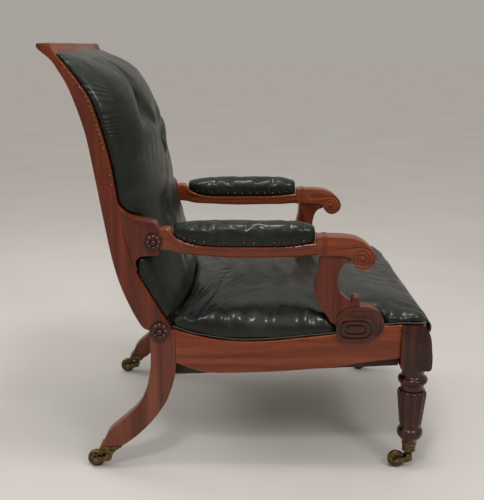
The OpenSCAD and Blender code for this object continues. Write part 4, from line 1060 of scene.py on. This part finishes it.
@dataclass(kw_only=True)
class ArmPad(Cushion):
    """A stuffed arm pad, held along its nailed lower edge."""

    fill: float = 0.8
    voxel: float = 4 * MM
    cap: float = 4 * MM
    nail_gap: float = 22 * MM
    crowded: float = 20 * MM

    def build(self) -> None:
        """Makes the arm pad."""
        piece = self.shell()
        low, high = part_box(self.node)
        self.soften(piece, rise(coordinates(piece.data)[:, 2] - low[2], 0.01, 0.026), 14)
        self.swell(piece, fall(coordinates(piece.data)[:, 2] - low[2], 0.012, 0.026))
        self.refine(piece, 3)
        self.fill_box(piece, low, high)
        self.crease(piece, float(low[2]), float(low[1] + high[1]) / 2)
        self.dress(piece)

    def fill_box(self, piece: bpy.types.Object, low: Sequence[float], high: Sequence[float]) -> None:
        """Brings the pad back to the frame's length and height after the rounding, with upright ends.

        Args:
            piece: the shell.
            low: the frame's own lowest corner.
            high: its highest corner.
        """
        places = coordinates(piece.data)
        # The crown stands 3 mm high
        for axis, proud in ((0, 0.0), (2, 3 * MM)):
            lowest, size = places[:, axis].min(), np.ptp(places[:, axis])
            places[:, axis] = low[axis] + (places[:, axis] - lowest) * (high[axis] - low[axis] + proud) / size
        for end, sign in ((low[0], 1.0), (high[0], -1.0)):
            share = np.clip((places[:, 0] - end) * sign / self.crowded, 0, 1)
            places[:, 0] += sign * self.crowded * (share**1.9 - share)
        set_coordinates(piece.data, places)

    def crease(self, piece: bpy.types.Object, floor: float, middle: float) -> None:
        """Draws the puckers between the nails and the folds across the top, and stores the fine pleats.

        Args:
            piece: the shell.
            floor: height of the pad's nailed edge.
            middle: place of its middle along Y.
        """
        places = coordinates(piece.data)
        normals = point_normals(piece.data)
        x = places[:, 0]
        side = fall(abs(normals[:, 2]), 0.3, 0.85)
        fade = hump(places[:, 2] - floor, 0.012, 0.012)
        push = 0.7 * MM * side * fade * np.sin(x * 2 * math.pi / self.nail_gap)
        push += 0.6 * MM * np.sin(x * 83 + 1) * np.sin(x * 37) * (1 - fade)
        top = rise(normals[:, 2], 0.3, 0.8)
        for start, end, depth in ((-0.11, -0.04, 1.6), (0.0, 0.06, 1.1), (0.07, 0.13, 1.5)):
            line = ((start, middle + 0.02), ((start + end) / 2, middle - 0.004), (end, middle - 0.024))
            push += Crease(line, depth * MM, 6 * MM, fade_start=True).push(places[:, :2]) * top
        set_coordinates(piece.data, places + normals * push[:, None])
        self.pleat(piece, x / 0.011 + 0.5 * np.sin(x * 53), 0.5 * side * fade)


@dataclass
class Gimp:
    """The thin braid that hides the tacks where the seat's hide meets the side rails."""

    braid: bpy.types.Material
    radius: float = 1.3 * MM
    sides: int = 8
    step: float = 6 * MM
    edge: float = 22 * MM
    window: float = 20 * MM
    hem: float = 4 * MM
    proud: float = 0.4 * MM
    lift: float = 1.6 * MM

    def build(self) -> None:
        """Lays a run of braid along each side's hem."""
        points = coordinates(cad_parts["seat_cushion"].data)
        for side, sign in SIDES.items():
            outer = points[points[:, 1] * sign > abs(points[:, 1]).max() - self.edge]
            places = []
            for x in np.arange(outer[:, 0].min(), outer[:, 0].max(), self.step):
                near = outer[abs(outer[:, 0] - x) < self.window]
                if len(near):
                    lowest = near[near[:, 2] < near[:, 2].min() + self.hem]
                    widest = lowest[np.argmax(lowest[:, 1] * sign)]
                    places.append((x, widest[1] + self.proud * sign, widest[2] + self.lift))
            path = np.array(places)
            # The run is evened out over seven steps
            for axis in (1, 2):
                path[:, axis] = np.convolve(np.pad(path[:, axis], 3, "edge"), np.ones(7) / 7, "valid")
            hand_over(tube(f"seat_gimp_{side}", path, self.radius, self.sides, self.braid), Slot.LEATHER)


# ---- repeats made with geometry nodes ----


@dataclass
class NailHeads:
    """Domed nail heads, one on each of the frame's nails, with closer ones above a height."""

    node: str
    metal: bpy.types.Material
    radius: float
    close_above: float = math.inf
    flatness: float = 0.62
    lean: float = 0.028
    segments: int = 12
    rings: int = 6

    def tree(self) -> bpy.types.NodeTree:
        """Builds the tree that puts a dome on every point, turned to its facing.

        Returns:
            The tree, with the head's radius and height as inputs.
        """
        tree = bpy.data.node_groups.new("nail_heads", "GeometryNodeTree")
        face = tree.interface
        face.new_socket("Geometry", in_out="INPUT", socket_type="NodeSocketGeometry")
        for name in ("Head radius", "Head height"):
            face.new_socket(name, in_out="INPUT", socket_type="NodeSocketFloat").default_value = 2 * MM
        face.new_socket("Geometry", in_out="OUTPUT", socket_type="NodeSocketGeometry")
        start = add(tree, "NodeGroupInput")
        points = add(tree, "GeometryNodeMeshToPoints", links={"Mesh": start.outputs[0]})
        dome = add(tree, "GeometryNodeMeshUVSphere", {"Segments": self.segments, "Rings": self.rings, "Radius": 1.0})
        size = add(tree, "ShaderNodeCombineXYZ", links={0: start.outputs[1], 1: start.outputs[1], 2: start.outputs[2]})
        facing = add(tree, "GeometryNodeInputNamedAttribute", {"Name": "facing"}, data_type="FLOAT_VECTOR")
        turn = add(tree, "FunctionNodeAlignRotationToVector", links={"Vector": facing.outputs[0]}, axis="Z")
        put = add(tree, "GeometryNodeInstanceOnPoints", links={"Points": points.outputs[0], "Instance": dome.outputs[0],
                  "Rotation": turn.outputs[0], "Scale": size.outputs[0]})
        real = add(tree, "GeometryNodeRealizeInstances", links={0: put.outputs[0]})
        paint = add(tree, "GeometryNodeSetMaterial", {"Material": self.metal}, {"Geometry": real.outputs[0]})
        add(tree, "NodeGroupOutput", links={0: paint.outputs[0]})
        return tree

    def nails(self) -> tuple[list[Point], list[Point]]:
        """Reads where the frame's nails sit, and adds one between each two above the height.

        Returns:
            The heads' places and facings.
        """
        centres, facings = [], []
        for points in islands(self.node):
            y = points[:, 1]
            side = math.copysign(1, y.mean())
            # The flat side holds the widest circle, so the dome points away from the side with more corners
            outward = 1.0 if (y - y.min() < 1e-4).sum() > (y.max() - y < 1e-4).sum() else -1.0
            middle = (points.min(0) + points.max(0)) / 2
            centres.append((middle[0], y.min() if outward > 0 else y.max(), middle[2]))
            facings.append((self.lean * side * outward, outward, 0.0))
        for side in SIDES.values():
            row = sorted((c for c in zip(centres, facings) if c[0][1] * side > 0), key=lambda c: c[0][2])
            for (one, facing), (two, _) in zip(row, row[1:]):
                if one[2] > self.close_above:
                    centres.append(tuple((a + b) / 2 for a, b in zip(one, two)))
                    facings.append(facing)
        return centres, facings

    def build(self) -> None:
        """Makes the heads that stand for the node's nails."""
        centres, facings = self.nails()
        mesh = bpy.data.meshes.new(f"{self.node}_places")
        mesh.from_pydata(centres, [], [])
        facing = mesh.attributes.new("facing", "FLOAT_VECTOR", "POINT")
        facing.data.foreach_set("vector", np.array(facings, float).ravel())
        piece = new_object(f"{self.node}_heads", mesh)
        maker = piece.modifiers.new("heads", "NODES")
        maker.node_group = self.tree()
        sizes = {"Head radius": self.radius, "Head height": self.flatness * self.radius}
        for item in maker.node_group.interface.items_tree:
            if item.in_out == "INPUT" and item.name in sizes:
                maker[item.identifier] = sizes[item.name]
        bake_modifiers(piece)
        shade(piece.data, 60)
        hand_over(piece, Slot.BRASS, self.node)


# ---- the rest ----


@dataclass
class PlainNodes:
    """Frame nodes that keep their own mesh and only get a finish."""

    finishes: Finishes

    def build(self) -> None:
        """Assigns the finishes."""
        f = self.finishes
        table = {"back_cover": f.hide, "seat_webbing": f.webbing, "spring_canvas": f.canvas, "seat_springs": f.steel}
        for corner in (f"{end}_{side}" for end in ENDS for side in SIDES):
            table |= {f"cup_{corner}": f.brass, f"horn_{corner}": f.brass, f"wheel_{corner}": f.brass,
                      f"axle_{corner}": f.steel}
        for node, material in table.items():
            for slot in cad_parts[node].material_slots:
                slot.material = material
            LOG.info("%s: own mesh, %s", node, material.name)


@dataclass(frozen=True)
class PaintedFloor(Finish):
    """Matt painted studio floor, with faint clouds about 0.5 m across."""

    name: str = "pale_floor"

    def nodes(self, tree: bpy.types.NodeTree, place: bpy.types.NodeSocket) -> tuple[Values, Links]:
        """Adds the clouds.

        Args:
            tree: the material's node tree.
            place: the piece's own coordinates.

        Returns:
            The shader's constants and its incoming sockets.
        """
        clouds = add(tree, "ShaderNodeTexNoise", {"Scale": 2.0, "Detail": 2.0}, {"Vector": place})
        colour = add(tree, "ShaderNodeValToRGB", links={"Fac": clouds.outputs["Fac"]},
                     stops=((0.3, "#c0bcb7"), (0.7, "#c5c1bc")))
        return {"Roughness": 1.0, "Specular IOR Level": 0.0}, {"Base Color": colour.outputs[0]}


@dataclass
class Studio:
    """Pale floor, soft lamps and the camera."""

    lens: float = 56.88
    camera_place: Point = (-0.026, -2.03, 0.9911)
    pitch: float = 14.48
    yaw: float = 0.49
    reach: float = 60.0

    def floor(self) -> None:
        """Lays the pale floor."""
        mesh = bpy.data.meshes.new("floor")
        r = self.reach
        mesh.from_pydata([(-r, -r, 0), (r, -r, 0), (r, r, 0), (-r, r, 0)], [], [(0, 1, 2, 3)])
        mesh.materials.append(PaintedFloor().material())
        new_object("floor", mesh)

    def world(self) -> None:
        """Sets a pale world, brighter overhead, that meets the far floor at the same tone."""
        world = bpy.data.worlds.new("studio")
        bpy.context.scene.world = world
        world.use_nodes = True
        tree = world.node_tree
        tree.nodes.clear()
        facing = add(tree, "ShaderNodeTexCoord").outputs["Generated"]
        height = add(tree, "ShaderNodeSeparateXYZ", links={"Vector": facing}).outputs[2]
        tone = add(tree, "ShaderNodeValToRGB", links={"Fac": height},
                   stops=((0.0, "#a8a39d"), (0.25, "#a8a39d"), (0.9, "#f4f2ef")))
        light = add(tree, "ShaderNodeBackground", {"Strength": 1.0}, {"Color": tone.outputs[0]})
        add(tree, "ShaderNodeOutputWorld", links={"Surface": light.outputs[0]})

    def lamp(self, name: str, place: Point, target: Point, power: float, size: tuple[float, float]) -> None:
        """Hangs one rectangular soft lamp.

        Args:
            name: the lamp's name.
            place: where it hangs.
            target: what it points at.
            power: watts.
            size: width and height in metres.
        """
        lamp = bpy.data.lights.new(name, "AREA")
        lamp.shape = "RECTANGLE"
        lamp.size, lamp.size_y = size
        lamp.energy = power
        holder = bpy.data.objects.new(name, lamp)
        bpy.context.scene.collection.objects.link(holder)
        holder.location = place
        holder.rotation_euler = (Vector(target) - Vector(place)).to_track_quat("-Z", "Y").to_euler()

    def camera(self) -> None:
        """Sets the camera at the photograph's place."""
        data = bpy.data.cameras.new("camera")
        data.lens = self.lens
        data.sensor_width = 36.0
        data.clip_end = 200.0
        holder = bpy.data.objects.new("camera", data)
        bpy.context.scene.collection.objects.link(holder)
        holder.location = self.camera_place
        holder.rotation_euler = Euler((math.radians(90 - self.pitch), 0, math.radians(-self.yaw)), "XYZ")
        bpy.context.scene.camera = holder

    def build(self) -> None:
        """Sets up the studio."""
        self.camera()
        self.floor()
        self.world()
        self.lamp("overhead", (0.2, -0.5, 2.7), (0, 0, 0.5), 19, (0.6, 0.45))
        self.lamp("near", (-0.35, -2.0, 2.75), (0, 0, 0.5), 21, (0.42, 0.36))
        self.lamp("front", (1.35, -1.9, 2.05), (0, 0, 0.5), 15, (0.5, 0.5))
        self.lamp("rear", (-1.7, 0.9, 1.9), (0, 0, 0.6), 12, (1.0, 0.9))
        bpy.context.scene.view_settings.view_transform = "Standard"


def main() -> None:
    """Builds the armchair's pieces in order."""
    logging.basicConfig(level=logging.INFO, format="%(message)s")
    finishes = Finishes()
    Studio().build()
    Timber(finishes).build()
    PlainNodes(finishes).build()
    back = BackCushion(hide=finishes.hide)
    back.build()
    back.sunk_buttons()
    SeatCushion(hide=finishes.hide).build()
    Gimp(finishes.braid).build()
    for side in SIDES:
        ArmPad(node=f"arm_pad_{side}", hide=finishes.hide).build()
    NailHeads("back_nails", finishes.brass, 2.8 * MM, close_above=0.76).build()
    NailHeads("pad_nails", finishes.bronzed, 3.8 * MM).build()
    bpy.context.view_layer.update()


if __name__ == "__main__":
    main()
